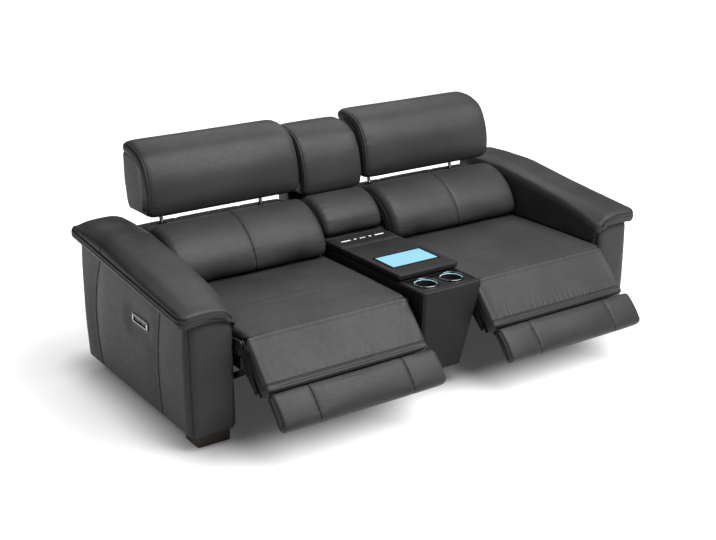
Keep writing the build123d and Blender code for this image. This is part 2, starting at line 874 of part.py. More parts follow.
    # Welded back frame: pivot tube with the drive lever, side plates, two posts that guide
    # the headrest stems, and two bars
    bx0, bx1 = span(side, back_in, back_out)
    pivot_y = arm_front + recline_y
    with BuildPart() as back_frame:
        round_bar(pivot_y, recline_z, tube_r, low_arm, high_arm + link_t)
        round_bar(pivot_y, recline_z, axle_r, inner_x0, inner_x1)
        low_y = post_line(post_bottom)
        for px in (bx0 + back_plate_inset, bx1 - back_plate_inset - back_plate_t):
            plate([(pivot_y, recline_z, crank_hub_r), (low_y, post_bottom, crank_hub_r)], px, back_plate_t)
        bar0, bar1 = bx0 + back_plate_inset, bx1 - back_plate_inset
        round_bar(low_y, post_bottom, bar_r, bar0, bar1)
        round_bar(post_line(upper_bar_z), upper_bar_z, bar_r, bar0, bar1)
        for px in (side * bay_mid - post_spread, side * bay_mid + post_spread):
            with BuildSketch(stem_plane(px, post_bottom)):
                Circle(post_r)
            extrude(amount=(post_top - post_bottom) / cos(lean))
        for px in (side * bay_mid - post_spread, side * bay_mid + post_spread):
            with BuildSketch(stem_plane(px, post_bottom - 40)):
                Circle(stem_r + stem_clear)
            extrude(amount=(post_top - post_bottom + 80) / cos(lean), mode=Mode.SUBTRACT)
        plate(
            [(pivot_y, recline_z, crank_hub_r), (pin_at_y, recline_pin_z, lever_end_r)],
            recline_x - drive_lever_t / 2,
            drive_lever_t,
        )
        pin0, pin1 = recline_x - drive_pin_len / 2, recline_x + drive_pin_len / 2
        round_bar(pin_at_y, recline_pin_z, pin_r, pin0, pin1)
    keep(back_frame, f"{name}_back_frame")

    # Outside back: a tray open to the front, with holes for the stems in its top
    with BuildPart() as back_cover:
        lean_box(bx0, bx1, cover_bottom, cover_top, 1, cover_depth, Mode.ADD)
        fillet(back_cover.faces().sort_by(Axis.Y)[-1].edges(), cover_wall)
        lean_box(
            bx0 + cover_wall,
            bx1 - cover_wall,
            cover_bottom - 1,
            cover_top - cover_wall / 2,
            0,
            cover_depth - cover_wall,
            Mode.SUBTRACT,
        )
        for px in (side * bay_mid - post_spread, side * bay_mid + post_spread):
            with BuildSketch(stem_plane(px, cover_top - 40)):
                Circle(cover_hole_r)
            extrude(amount=80, mode=Mode.SUBTRACT)
    keep(back_cover, f"{name}_back_cover")


def lumbar_outline(at):
    # Side view of the back cushion: full belly low down, sloping up to a soft crest
    rear_top = at(back_plane(lumbar_top_z) - arm_front, lumbar_top_z)
    rear_low = at(back_plane(lumbar_bottom) - arm_front, lumbar_bottom)
    low = at(545, lumbar_bottom)
    belly = at(488, 510)
    waist = at(565, 603)
    crest = at(690, 643)
    Line(rear_low, low)
    ThreePointArc(low, at(500, 466), belly)
    ThreePointArc(belly, at(513, 570), waist)
    ThreePointArc(waist, at(622, 628), crest)
    ThreePointArc(crest, at(764, 625), rear_top)
    Line(rear_top, rear_low)


def middle_outline(at):
    # The middle back cushion stands further back and ends above the console's deck
    base = console_rear_top + middle_clear
    rear_top = at(back_plane(lumbar_top_z) - arm_front, lumbar_top_z)
    rear_low = at(back_plane(base) - arm_front, base)
    low = at(592, base)
    belly = at(545, 530)
    waist = at(600, 608)
    crest = at(700, 640)
    Line(rear_low, low)
    ThreePointArc(low, at(553, 503), belly)
    ThreePointArc(belly, at(562, 577), waist)
    ThreePointArc(waist, at(645, 629), crest)
    ThreePointArc(crest, at(762, 613), rear_top)
    Line(rear_top, rear_low)


def head_outline(at, drop=0):
    # Front pad of a headrest with a cap that wraps over the top to the rear
    p = [
        at(y, z - drop)
        for y, z in (
            (788, 664), (750, 657), (722, 669), (713, 700), (711, 767), (738, 845), (776, 911), (850, 937),
            (898, 944), (934, 939), (952, 925), (950, 903), (936, 893), (845, 874), (810, 862), (797, 835),
        )
    ]
    Line(p[0], p[1])
    for first in (1, 3, 5, 7, 9):
        ThreePointArc(p[first], p[first + 1], p[first + 2])
    Polyline(p[11], p[12], p[13])
    ThreePointArc(p[13], p[14], p[15])
    Line(p[15], p[0])


def shell_points(drop=0):
    return [
        (arm_front + y, z - drop)
        for y, z in (
            (788.8, 668), (912, 668), (926, 690), (943, 780), (941, 878), (930, 887), (846, 870), (797.8, 834),
        )
    ]


head_anchor_y = arm_front + 797
head_anchor_z = 858

for name, side in sides:
    bx0, bx1 = span(side, back_in, back_out)
    anchor_z = (lumbar_bottom + lumbar_top_z) / 2

    # Back cushion
    with BuildPart() as back_cushion:
        pillow(bx0, bx1, back_plane(anchor_z), anchor_z, lumbar_outline)
    keep(back_cushion, f"{name}_back_cushion")

    # Headrest: two stems, a rear shell they are let into, and the pad
    with BuildPart() as headrest_rods:
        for px in (side * bay_mid - post_spread, side * bay_mid + post_spread):
            with BuildSketch(stem_plane(px, stem_bottom)):
                Circle(stem_r)
            extrude(amount=(shell_points()[0][1] + stem_in - stem_bottom) / cos(lean))
    keep(headrest_rods, f"{name}_headrest_rods")

    with BuildPart() as headrest_shell:
        with BuildSketch(Plane.YZ.offset(bx0 + shell_inset)):
            with BuildLine():
                Polyline(*shell_points(), close=True)
            make_face()
        extrude(amount=bx1 - bx0 - 2 * shell_inset)
        fillet(headrest_shell.edges().filter_by(Axis.X).group_by(Axis.Y)[-1], shell_round)
        for px in (side * bay_mid - post_spread, side * bay_mid + post_spread):
            with BuildSketch(stem_plane(px, shell_points()[0][1] - 40)):
                Circle(stem_r + 0.05)
            extrude(amount=(stem_in + 40) / cos(lean), mode=Mode.SUBTRACT)
    keep(headrest_shell, f"{name}_headrest_shell")

    with BuildPart() as headrest_pad:
        pillow(bx0, bx1, head_anchor_y, head_anchor_z, head_outline)
    keep(headrest_pad, f"{name}_headrest_pad")

# Drives under each seat: a guide tube, a gear head with its motor, and a lug under the rear cross tube
with BuildPart() as actuators:
    for name, side in sides:
        for x, z, mouth, end in (
            (side * bay_mid - drive_off, lift_z, lift_house_front, lift_house_rear),
            (side * bay_mid + drive_off, recline_pin_z, recline_house_rear, recline_house_front),
        ):
            turn = 1 if end > mouth else -1
            lug_y = arm_front + rear_cross
            with BuildSketch(Plane(origin=(x, arm_front + mouth, z), z_dir=(0, turn, 0))):
                Circle(housing_r)
            extrude(amount=abs(end - mouth))
            with BuildSketch(Plane(origin=(x, arm_front + mouth, z), z_dir=(0, turn, 0))):
                Circle(rod_r + bore_clear)
            extrude(amount=abs(end - mouth) - house_end_t, mode=Mode.SUBTRACT)
            block(
                x - lug_half_w, x + lug_half_w, lug_y - lug_half_d, lug_y + lug_half_d,
                z + housing_r - 6, cross_z - cross_r - seam_gap,
            )
            gear_y = arm_front + end - turn * gear_half_w
            block(
                x - gear_half_w, x + gear_half_w, gear_y - gear_half_d, gear_y + gear_half_d,
                z - housing_r - gear_drop, z - house_end_t,
            )
            motor_x = x + gear_half_w
            round_bar(gear_y, z - housing_r - motor_drop, motor_r, motor_x, motor_x + motor_len)
keep(actuators, "actuators")

# Rear beams tie each arm to the console; the supply box is fixed to the right one
with BuildPart() as rear_beams:
    for name, side in sides:
        x0, x1 = span(side, console_half, arm_in)
        block(x0, x1, arm_front + beam_front, arm_front + beam_front + beam_t, beam_bottom, beam_top)
keep(rear_beams, "rear_beams")

with BuildPart() as power_box:
    y1 = arm_front + beam_front
    x0 = bay_mid - supply_w / 2
    block(x0, x0 + supply_w, y1 - supply_d, y1, supply_z - supply_h / 2, supply_z + supply_h / 2)
    fillet(power_box.edges().filter_by(Axis.Y), supply_corner)
    with BuildSketch(Plane.YZ.offset(x0)):
        with Locations((y1 - supply_d / 2, supply_z)):
            RectangleRounded(inlet_w, inlet_h, inlet_corner)
    extrude(amount=inlet_depth, mode=Mode.SUBTRACT)
keep(power_box, "power_box")

# Console body: a box between the seats with a front that leans back and narrows downwards
with BuildPart() as console_body:
    back_y = arm_front + console_split
    for z, half, reach in (
        (console_base_z, console_base_half, console_base_front),
        (console_top, console_half, console_front),
    ):
        with BuildSketch(Plane.XY.offset(z)):
            y0 = arm_front - reach
            with Locations((0, (y0 + back_y) / 2)):
                RectangleRounded(2 * half, back_y - y0, console_corner)
    loft()
    y_rear = arm_front + console_rear
    block(-console_half, console_half, back_y - 20, arm_front + deck_rear + 1, console_bottom, console_top)
    block(-console_half, console_half, arm_front + deck_rear + 1, y_rear, console_bottom, console_rear_top)
    block(
        -tray_half, tray_half, arm_front - tray_front, arm_front + tray_rear,
        console_top - tray_depth, console_top, Mode.SUBTRACT,
    )
    for x in (-cup_x, cup_x):
        with BuildSketch(Plane.XY.offset(console_top)):
            with Locations((x, arm_front - cup_y)):
                Circle(cup_r + cup_wall + cup_clear)
        extrude(amount=-(tray_depth + cup_depth + cup_well), mode=Mode.SUBTRACT)
    block(
        -bin_half - 1, bin_half + 1, arm_front + bin_front - 1, arm_front + bin_rear + 1,
        console_top - bin_depth - 1, console_top, Mode.SUBTRACT,
    )
keep(console_body, "console_body")

# Storage bin with a flange that rests on the body
with BuildPart() as console_bin:
    y0, y1 = arm_front + bin_front, arm_front + bin_rear
    block(-bin_half, bin_half, y0, y1, console_top - bin_depth, console_top + bin_flange_t)
    block(
        -bin_half - bin_flange, bin_half + bin_flange, y0 - bin_flange, y1 + bin_flange,
        console_top, console_top + bin_flange_t,
    )
    block(
        -bin_half + bin_wall, bin_half - bin_wall, y0 + bin_wall, y1 - bin_wall,
        console_top - bin_depth + bin_wall, console_top + bin_flange_t, Mode.SUBTRACT,
    )
keep(console_bin, "console_bin")

# Cup tray, cup liners and rings
tray_top = console_top - tray_depth + tray_t
with BuildPart() as cup_tray:
    block(
        -tray_half + 0.5, tray_half - 0.5, arm_front - tray_front + 0.5, arm_front + tray_rear - 0.5,
        console_top - tray_depth, tray_top,
    )
    for x in (-cup_x, cup_x):
        with BuildSketch(Plane.XY.offset(tray_top)):
            with Locations((x, arm_front - cup_y)):
                Circle(cup_r + cup_wall + cup_clear)
        extrude(amount=-tray_t, mode=Mode.SUBTRACT)
keep(cup_tray, "cup_tray")

with BuildPart() as cup_liners:
    for x in (-cup_x, cup_x):
        with BuildSketch(Plane.XY.offset(tray_top - cup_depth)):
            with Locations((x, arm_front - cup_y)):
                Circle(cup_r + cup_wall)
        extrude(amount=cup_depth)
        with BuildSketch(Plane.XY.offset(tray_top - cup_depth + cup_wall)):
            with Locations((x, arm_front - cup_y)):
                Circle(cup_r)
        extrude(amount=cup_depth, mode=Mode.SUBTRACT)
keep(cup_liners, "cup_liners")

with BuildPart() as cup_rings:
    for x in (-cup_x, cup_x):
        with BuildSketch(Plane.XY.offset(tray_top)):
            with Locations((x, arm_front - cup_y)):
                Circle(ring_r)
                Circle(cup_r, mode=Mode.SUBTRACT)
        extrude(amount=ring_t)
    fillet(cup_rings.edges().group_by(Axis.Z)[-1], ring_t / 2.5)
keep(cup_rings, "cup_rings")

# Lid with a sunk screen, hinged on pins in the deck's bosses behind it
lid_z = console_top + lid_gap
pin_line_y = arm_front + hinge_y
pin_line_z = lid_z + hinge_up
with BuildPart() as console_lid:
    block(-console_half, console_half, arm_front + lid_front, arm_front + lid_rear, lid_z, lid_z + lid_t)
    fillet(console_lid.edges().filter_by(Axis.Z).group_by(Axis.Y)[0], lid_corner)
    fillet(console_lid.faces().sort_by(Axis.Z)[-1].edges(), lid_edge)
    block(
        -screen_w / 2, screen_w / 2,
        arm_front + screen_y - screen_d / 2, arm_front + screen_y + screen_d / 2,
        lid_z + lid_t - screen_sink, lid_z + lid_t, Mode.SUBTRACT,
    )
keep(console_lid, "console_lid")

with BuildPart() as lid_hinge:
    for x in (-hinge_x, hinge_x):
        for end in (-1, 1):
            lug = x + end * (hinge_boss_w / 2 + hinge_lug_off)
            with BuildSketch(Plane.YZ.offset(lug - hinge_lug_w / 2)):
                with Locations((pin_line_y, pin_line_z)):
                    Circle(hinge_boss_r - hinge_trim)
                with Locations((pin_line_y - (hinge_y - lid_rear) / 2, pin_line_z)):
                    Rectangle(hinge_y - lid_rear, 2 * hinge_boss_r - hinge_slim)
            extrude(amount=hinge_lug_w)
        reach = hinge_boss_w / 2 + hinge_lug_off
        round_bar(pin_line_y, pin_line_z, hinge_pin_r, x - reach, x + reach)
keep(lid_hinge, "lid_hinge")

with BuildPart() as lid_screen:
    block(
        -screen_w / 2 + screen_clear, screen_w / 2 - screen_clear,
        arm_front + screen_y - screen_d / 2 + screen_clear, arm_front + screen_y + screen_d / 2 - screen_clear,
        lid_z + lid_t - screen_sink, lid_z + lid_t + screen_proud,
    )
    fillet(lid_screen.edges().filter_by(Axis.Z), screen_corner)
keep(lid_screen, "lid_screen")

# Fixed deck behind the lid with the hinge bosses and a strip of sockets
with BuildPart() as console_deck:
    deck_y0, deck_y1 = arm_front + deck_front, arm_front + deck_rear
    block(-console_half, console_half, deck_y0, deck_y1, console_top, lid_z + lid_t)
    fillet(console_deck.faces().sort_by(Axis.Z)[-1].edges().filter_by(Axis.Y), lid_edge)
    block(
        -port_w / 2, port_w / 2, arm_front + port_y - port_d / 2, arm_front + port_y + port_d / 2,
        lid_z + lid_t - port_t + port_proud, lid_z + lid_t, Mode.SUBTRACT,
    )
    for x in (-hinge_x, hinge_x):
        with BuildSketch(Plane.YZ.offset(x - hinge_boss_w / 2)):
            with Locations((pin_line_y, pin_line_z)):
                Circle(hinge_boss_r - hinge_trim)
            with Locations((pin_line_y + (deck_front - hinge_y) / 2, pin_line_z)):
                Rectangle(deck_front - hinge_y, 2 * hinge_boss_r - hinge_slim)
            with Locations((pin_line_y, pin_line_z)):
                Circle(hinge_pin_r + pin_clear, mode=Mode.SUBTRACT)
        extrude(amount=hinge_boss_w)
keep(console_deck, "console_deck")

with BuildPart() as port_strip:
    top = lid_z + lid_t + port_proud
    block(
        -port_w / 2 + screen_clear, port_w / 2 - screen_clear,
        arm_front + port_y - port_d / 2 + screen_clear, arm_front + port_y + port_d / 2 - screen_clear,
        top - port_t, top,
    )
    with BuildSketch(Plane.XY.offset(top)):
        for x, long, wide, corner in port_sockets:
            with Locations((x, arm_front + port_y)):
                RectangleRounded(long, wide, corner)
    extrude(amount=-port_t / 2, mode=Mode.SUBTRACT)
keep(port_strip, "port_strip")

# Fixed middle back: a shell on the console, its cushion and its headrest pad
with BuildPart() as middle_back_shell:
    rear = shell_points(middle_drop)
    low = console_rear_top
    half = console_half - middle_clear
    with BuildSketch(Plane.YZ.offset(-half)):
        with BuildLine():
            Polyline(
                (back_plane(low) + 1, low),
                (arm_front + console_rear, low),
                (arm_front + console_rear + 3, rear[0][1]),
                *rear[3:],
                rear[0],
                (back_plane(rear[0][1]) + 1, rear[0][1]),
                close=True,
            )
        make_face()
    extrude(amount=2 * half)
    fillet(middle_back_shell.edges().filter_by(Axis.X).sort_by(Axis.Z)[-1:], 8)
keep(middle_back_shell, "middle_back_shell")

with BuildPart() as middle_back_cushion:
    anchor_z = (console_rear_top + middle_clear + lumbar_top_z) / 2
    pillow(-console_half, console_half, back_plane(anchor_z), anchor_z, middle_outline)
keep(middle_back_cushion, "middle_back_cushion")

with BuildPart() as middle_headrest_pad:
    pillow(
        -console_half, console_half, head_anchor_y, head_anchor_z - middle_drop,
        lambda at: head_outline(at, middle_drop),
    )
keep(middle_headrest_pad, "middle_headrest_pad")
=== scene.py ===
import json
import math

import bmesh
import bpy
import numpy as np
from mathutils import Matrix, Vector


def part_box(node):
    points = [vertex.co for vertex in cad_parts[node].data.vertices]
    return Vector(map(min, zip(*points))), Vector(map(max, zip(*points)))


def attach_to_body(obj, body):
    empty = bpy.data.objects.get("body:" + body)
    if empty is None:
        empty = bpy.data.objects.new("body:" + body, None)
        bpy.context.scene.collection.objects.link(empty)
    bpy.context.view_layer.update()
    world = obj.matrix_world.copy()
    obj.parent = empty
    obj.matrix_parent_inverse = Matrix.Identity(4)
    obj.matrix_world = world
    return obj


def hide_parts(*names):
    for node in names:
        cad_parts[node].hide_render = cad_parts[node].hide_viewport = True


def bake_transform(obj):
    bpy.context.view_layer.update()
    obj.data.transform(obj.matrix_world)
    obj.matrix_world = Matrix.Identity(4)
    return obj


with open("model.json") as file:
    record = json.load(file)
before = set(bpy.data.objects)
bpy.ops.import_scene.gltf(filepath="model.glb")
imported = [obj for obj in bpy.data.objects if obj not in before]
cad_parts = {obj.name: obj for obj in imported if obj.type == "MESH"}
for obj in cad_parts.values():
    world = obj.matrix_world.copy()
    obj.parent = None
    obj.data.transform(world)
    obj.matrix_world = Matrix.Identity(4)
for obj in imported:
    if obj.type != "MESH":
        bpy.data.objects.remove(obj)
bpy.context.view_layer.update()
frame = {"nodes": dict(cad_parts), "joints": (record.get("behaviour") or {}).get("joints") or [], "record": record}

# Lengths are millimetres until a mesh is made, and y is counted from the arms' front plane
mm = 0.001
joints = {joint["name"]: joint for joint in frame["joints"]}
sides = (("left", -1), ("right", 1))


def nodeBox(node):
    low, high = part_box(node)
    return np.array(low) / mm, np.array(high) / mm


def bayRange(node):
    # distances from the middle of the sofa, inner then outer
    low, high = nodeBox(node)
    return sorted((abs(low[0]), abs(high[0])))


armFront = nodeBox("left_arm_cover")[0][1]
hinge = np.array(joints["right_legrest_lift"]["pos_m"]) / mm
hingeY, hingeZ = hinge[1] - armFront, hinge[2]
bayMid = hinge[0]


# Finishes


def newFinish(name):
    finish = bpy.data.materials.new(name)
    finish.use_nodes = True
    return finish, finish.node_tree, finish.node_tree.nodes["Principled BSDF"]


def feed(tree, node, inputs):
    # an input is a value or another node's socket
    for key, value in dict(inputs).items():
        if isinstance(value, bpy.types.NodeSocket):
            tree.links.new(value, node.inputs[key])
        else:
            node.inputs[key].default_value = value


def wire(tree, kind, inputs=(), **settings):
    # adds a node
    node = tree.nodes.new(kind)
    for key, value in settings.items():
        setattr(node, key, value)
    feed(tree, node, inputs)
    return node


def blendTones(tree, factor, first, second):
    # mixes two colours, each three numbers or a socket
    mix = wire(tree, "ShaderNodeMix", data_type="RGBA")
    tones = (tone if isinstance(tone, bpy.types.NodeSocket) else (*tone, 1) for tone in (first, second))
    feed(tree, mix, zip((0, 6, 7), (factor, *tones)))
    return mix.outputs[2]


def mapRange(tree, value, low, high, fromLow=0.0, fromHigh=1.0, **settings):
    node = wire(tree, "ShaderNodeMapRange", {"Value": value, "From Min": fromLow, "From Max": fromHigh,
                                             "To Min": low, "To Max": high}, **settings)
    return node.outputs["Result"]


def mathOf(tree, operation, first, second):
    return wire(tree, "ShaderNodeMath", {0: first, 1: second}, operation=operation).outputs[0]


def vectorOf(tree, operation, first, second=(0.0, 0.0, 0.0)):
    return wire(tree, "ShaderNodeVectorMath", {0: first, 1: second}, operation=operation).outputs[0]


def noise(tree, place, scale, detail=2.0, roughness=0.5, distortion=0.0):
    return wire(tree, "ShaderNodeTexNoise", {"Vector": place, "Scale": scale, "Detail": detail,
                                             "Roughness": roughness, "Distortion": distortion})


def bumpOf(tree, height, strength, distance, under=None):
    # a normal, on top of another one where under is given
    node = wire(tree, "ShaderNodeBump", {"Height": height, "Strength": strength, "Distance": distance})
    if under is not None:
        tree.links.new(under, node.inputs["Normal"])
    return node.outputs["Normal"]


def objectPlace(tree):
    return wire(tree, "ShaderNodeTexCoord").outputs["Object"]


# seam sets how dark the painted shade in the seams' grooves is, as a share of the dark tone
leatherLook = {"dark": (0.029, 0.028, 0.0292), "light": (0.046, 0.0442, 0.0458), "specular": 0.22,
               "rough": (0.40, 0.52), "pebble": 520.0, "warp": 0.0012, "fold": 70.0, "cloud": 4.5,
               "slack": 17.0, "bump": 0.22, "depth": 0.0006, "wave": 0.0016, "pore": 0.55, "seam": 0.35}


def leatherFinish(name, look):
    finish, tree, shader = newFinish(name)
    place = objectPlace(tree)
    warp = noise(tree, place, look["pebble"] * 0.4).outputs["Color"]
    moved = vectorOf(tree, "ADD", place, vectorOf(tree, "MULTIPLY", warp, (look["warp"],) * 3))
    pebble = wire(tree, "ShaderNodeTexVoronoi", {"Vector": moved, "Scale": look["pebble"], "Smoothness": 0.5},
                  feature="SMOOTH_F1").outputs["Distance"]
    fold = noise(tree, place, look["fold"], 5.0, 0.6, 0.6).outputs["Fac"]
    cloud = noise(tree, place, look["cloud"], 4.0, 0.55).outputs["Fac"]
    wave = noise(tree, place, look["slack"], 2.5, 0.5, 0.8).outputs["Fac"]
    # seamShade marks each seam's groove, where the colour is darkened: painted shade
    seam = wire(tree, "ShaderNodeAttribute", attribute_name="seamShade").outputs["Fac"]
    even = blendTones(tree, mapRange(tree, cloud, 0.0, 1.0, 0.3, 0.7), look["dark"], look["light"])
    pore = mapRange(tree, pebble, 0.0, 0.35, 0.25, 0.85)
    grained = blendTones(tree, pore, even, tuple(look["pore"] * part for part in look["dark"]))
    grooveShadeTone = blendTones(tree, seam, grained, tuple(look["seam"] * part for part in look["dark"]))
    polish = mathOf(tree, "ADD", mapRange(tree, fold, *look["rough"], 0.3, 0.7),
                    mapRange(tree, pebble, -0.03, 0.05))
    height = mathOf(tree, "SUBTRACT", mathOf(tree, "MULTIPLY", fold, 0.55), pebble)
    slack = bumpOf(tree, wave, 0.3, look["wave"])
    feed(tree, shader, {"Base Color": grooveShadeTone, "Roughness": polish, "Specular IOR Level": look["specular"],
                        "Normal": bumpOf(tree, height, look["bump"], look["depth"], slack)})
    return finish


def threadFinish():
    finish, tree, shader = newFinish("waxed_thread")
    strand = wire(tree, "ShaderNodeTexWave", {"Vector": objectPlace(tree), "Scale": 260.0, "Distortion": 1.5},
                  bands_direction="DIAGONAL").outputs["Fac"]
    feed(tree, shader, {"Base Color": blendTones(tree, strand, (0.04, 0.039, 0.04), (0.12, 0.117, 0.12)),
                        "Roughness": 0.55})
    return finish


def brushedFinish(name, dark, light, rough, metallic=1.0, scale=35.0, stretch=(1, 1, 18)):
    # drawn or plated metal: fine streaks along one direction
    finish, tree, shader = newFinish(name)
    turned = wire(tree, "ShaderNodeMapping", {"Vector": objectPlace(tree), "Scale": stretch})
    streak = noise(tree, turned.outputs[0], scale, 5.0).outputs["Fac"]
    feed(tree, shader, {"Base Color": blendTones(tree, streak, dark, light), "Metallic": metallic,
                        "Roughness": mapRange(tree, streak, *rough),
                        "Normal": bumpOf(tree, streak, 0.05, 0.0004)})
    return finish


def mouldedFinish(name, dark, light, rough):
    finish, tree, shader = newFinish(name)
    place = objectPlace(tree)
    spark = noise(tree, place, 900.0).outputs["Fac"]
    cloud = noise(tree, place, 12.0, 3.0).outputs["Fac"]
    feed(tree, shader, {"Base Color": blendTones(tree, cloud, dark, light),
                        "Roughness": mapRange(tree, cloud, *rough),
                        "Normal": bumpOf(tree, spark, 0.18, 0.0003)})
    return finish


def woodFinish(name, dark, light, rough, along):
    finish, tree, shader = newFinish(name)
    turned = wire(tree, "ShaderNodeMapping", {"Vector": objectPlace(tree), "Scale": along}).outputs[0]
    rings = wire(tree, "ShaderNodeTexWave", {"Vector": turned, "Scale": 9.0, "Distortion": 7.0, "Detail": 4.0,
                                             "Detail Scale": 1.6})
    fibre = noise(tree, turned, 130.0, 5.0).outputs["Fac"]
    grain = mathOf(tree, "MULTIPLY", rings.outputs["Fac"], fibre)
    stripes = mapRange(tree, grain, 0.0, 1.0, 0.1, 0.6)
    feed(tree, shader, {"Base Color": blendTones(tree, stripes, dark, light),
                        "Roughness": mapRange(tree, fibre, *rough),
                        "Normal": bumpOf(tree, grain, 0.2, 0.0006)})
    return finish


screenLook = {"tone": (0.33, 0.71, 0.9), "pale": (0.52, 0.86, 1.0), "glow": 0.97, "rim": (11.0, 9.0),
              "skin": 0.4, "rimTone": (0.004, 0.004, 0.005), "paneTone": (0.02, 0.05, 0.06)}


def screenFinish():
    # lit pane in a black frame, with a plain grid of soft tiles
    finish, tree, shader = newFinish("lit_screen")
    low, high = nodeBox("lid_screen")
    half = (high - low) / 2
    centred = vectorOf(tree, "SUBTRACT", objectPlace(tree), tuple((low + high) / 2 * mm))
    parts = wire(tree, "ShaderNodeSeparateXYZ", {0: centred}).outputs
    pane = mathOf(tree, "GREATER_THAN", parts["Z"], (half[2] - screenLook["skin"]) * mm)
    for axis, reach, rim in zip("XY", half, screenLook["rim"]):
        within = mathOf(tree, "LESS_THAN", mathOf(tree, "ABSOLUTE", parts[axis], 0), (reach - rim) * mm)
        pane = mathOf(tree, "MULTIPLY", pane, within)
    tiles = wire(tree, "ShaderNodeTexBrick", {"Vector": centred, "Scale": 18.0, "Mortar Size": 0.03,
                                              "Mortar Smooth": 0.6, "Bias": 0.0}, offset=0.0)
    lightness = mathOf(tree, "MULTIPLY", tiles.outputs["Fac"], noise(tree, centred, 26.0).outputs["Fac"])
    feed(tree, shader, {"Base Color": blendTones(tree, pane, screenLook["rimTone"], screenLook["paneTone"]),
                        "Emission Color": blendTones(tree, lightness, screenLook["tone"], screenLook["pale"]),
                        "Emission Strength": mathOf(tree, "MULTIPLY", pane, screenLook["glow"]),
                        "Roughness": 0.12})
    return finish


def litFinish(name, tone, strength):
    finish, tree, shader = newFinish(name)
    shimmer = noise(tree, objectPlace(tree), 60.0).outputs["Fac"]
    dim = tuple(0.85 * part for part in tone)
    feed(tree, shader, {"Emission Color": blendTones(tree, shimmer, dim, tone),
                        "Emission Strength": strength, "Base Color": (*tone, 1), "Roughness": 0.3})
    return finish


leather = leatherFinish("charcoal_leather", leatherLook)
# the console's leather is a darker copy of the seat leather, darkened to match the shade on the console's front:
# painted shade
consoleTones = {"dark": (0.0115, 0.0104, 0.0105), "light": (0.02, 0.018, 0.018), "rough": (0.42, 0.56),
                "specular": 0.17}
# the piping is a darker copy of the leather: painted shade, standing for the dark line of a seam's groove
pipingShadeTones = {"dark": (0.012, 0.0115, 0.012), "light": (0.022, 0.021, 0.022)}
consoleLeather = leatherFinish("console_leather", {**leatherLook, **consoleTones})
pipingShadeLeather = leatherFinish("piping_leather_painted_shade", {**leatherLook, **pipingShadeTones})
thread = threadFinish()
darkSteel = brushedFinish("painted_steel", (0.012, 0.012, 0.013), (0.04, 0.04, 0.043), (0.38, 0.6), 0.35, 60,
                          (1, 1, 1))
bareSteel = brushedFinish("drawn_steel", (0.28, 0.28, 0.29), (0.52, 0.52, 0.53), (0.25, 0.42))
chrome = brushedFinish("bright_chrome", (0.62, 0.63, 0.65), (0.85, 0.86, 0.88), (0.05, 0.13), 1.0, 12)
blackPlastic = mouldedFinish("black_moulding", (0.008, 0.008, 0.009), (0.02, 0.02, 0.022), (0.42, 0.6))
blackGloss = mouldedFinish("black_gloss", (0.004, 0.004, 0.005), (0.01, 0.01, 0.011), (0.16, 0.26))
greyButton = mouldedFinish("grey_button", (0.09, 0.09, 0.092), (0.17, 0.17, 0.175), (0.3, 0.45))
smokedChrome = brushedFinish("smoked_chrome", (0.16, 0.165, 0.17), (0.3, 0.305, 0.31), (0.08, 0.18), 1.0, 12)
footWood = woodFinish("stained_wood", (0.012, 0.006, 0.004), (0.055, 0.028, 0.018), (0.38, 0.52), (6, 1, 1))
# timber with grain, darkened so that the gaps about the frames and footrest boards read as shade: painted shade
darkWood = woodFinish("timber_darkened_as_shade", (0.006, 0.006, 0.006), (0.022, 0.021, 0.02), (0.5, 0.68), (1, 6, 1))
frameWood = woodFinish("raw_timber", (0.30, 0.19, 0.10), (0.62, 0.47, 0.30), (0.6, 0.8), (1, 6, 1))
screenGlass = screenFinish()
ringGlow = litFinish("ring_glow", (0.45, 0.78, 0.86), 0.55)
whiteMark = litFinish("white_mark", (0.8, 0.8, 0.8), 0.4)
print("finishes made")


# Outlines, grids and meshes


def unit(v):
    return v / max(np.linalg.norm(v), 1e-9)


def loopArea(loop):
    nxt = np.roll(loop, -1, axis=0)
    return 0.5 * np.sum(loop[:, 0] * nxt[:, 1] - nxt[:, 0] * loop[:, 1])


def loopNormals(loop):
    # outward normals of a closed outline
    along = np.roll(loop, -1, axis=0) - np.roll(loop, 1, axis=0)
    out = np.stack([along[:, 1], -along[:, 0]], axis=1) * np.sign(loopArea(loop))
    return out / np.maximum(np.linalg.norm(out, axis=1, keepdims=True), 1e-9)


def loopLength(loop):
    step = np.linalg.norm(np.diff(loop, axis=0), axis=1)
    return np.concatenate([[0], np.cumsum(step)])


def eased(pieces):
    # shares from 0 to 1, closer together at both ends
    return 0.5 * (1 - np.cos(np.pi * np.linspace(0, 1, pieces + 1)))


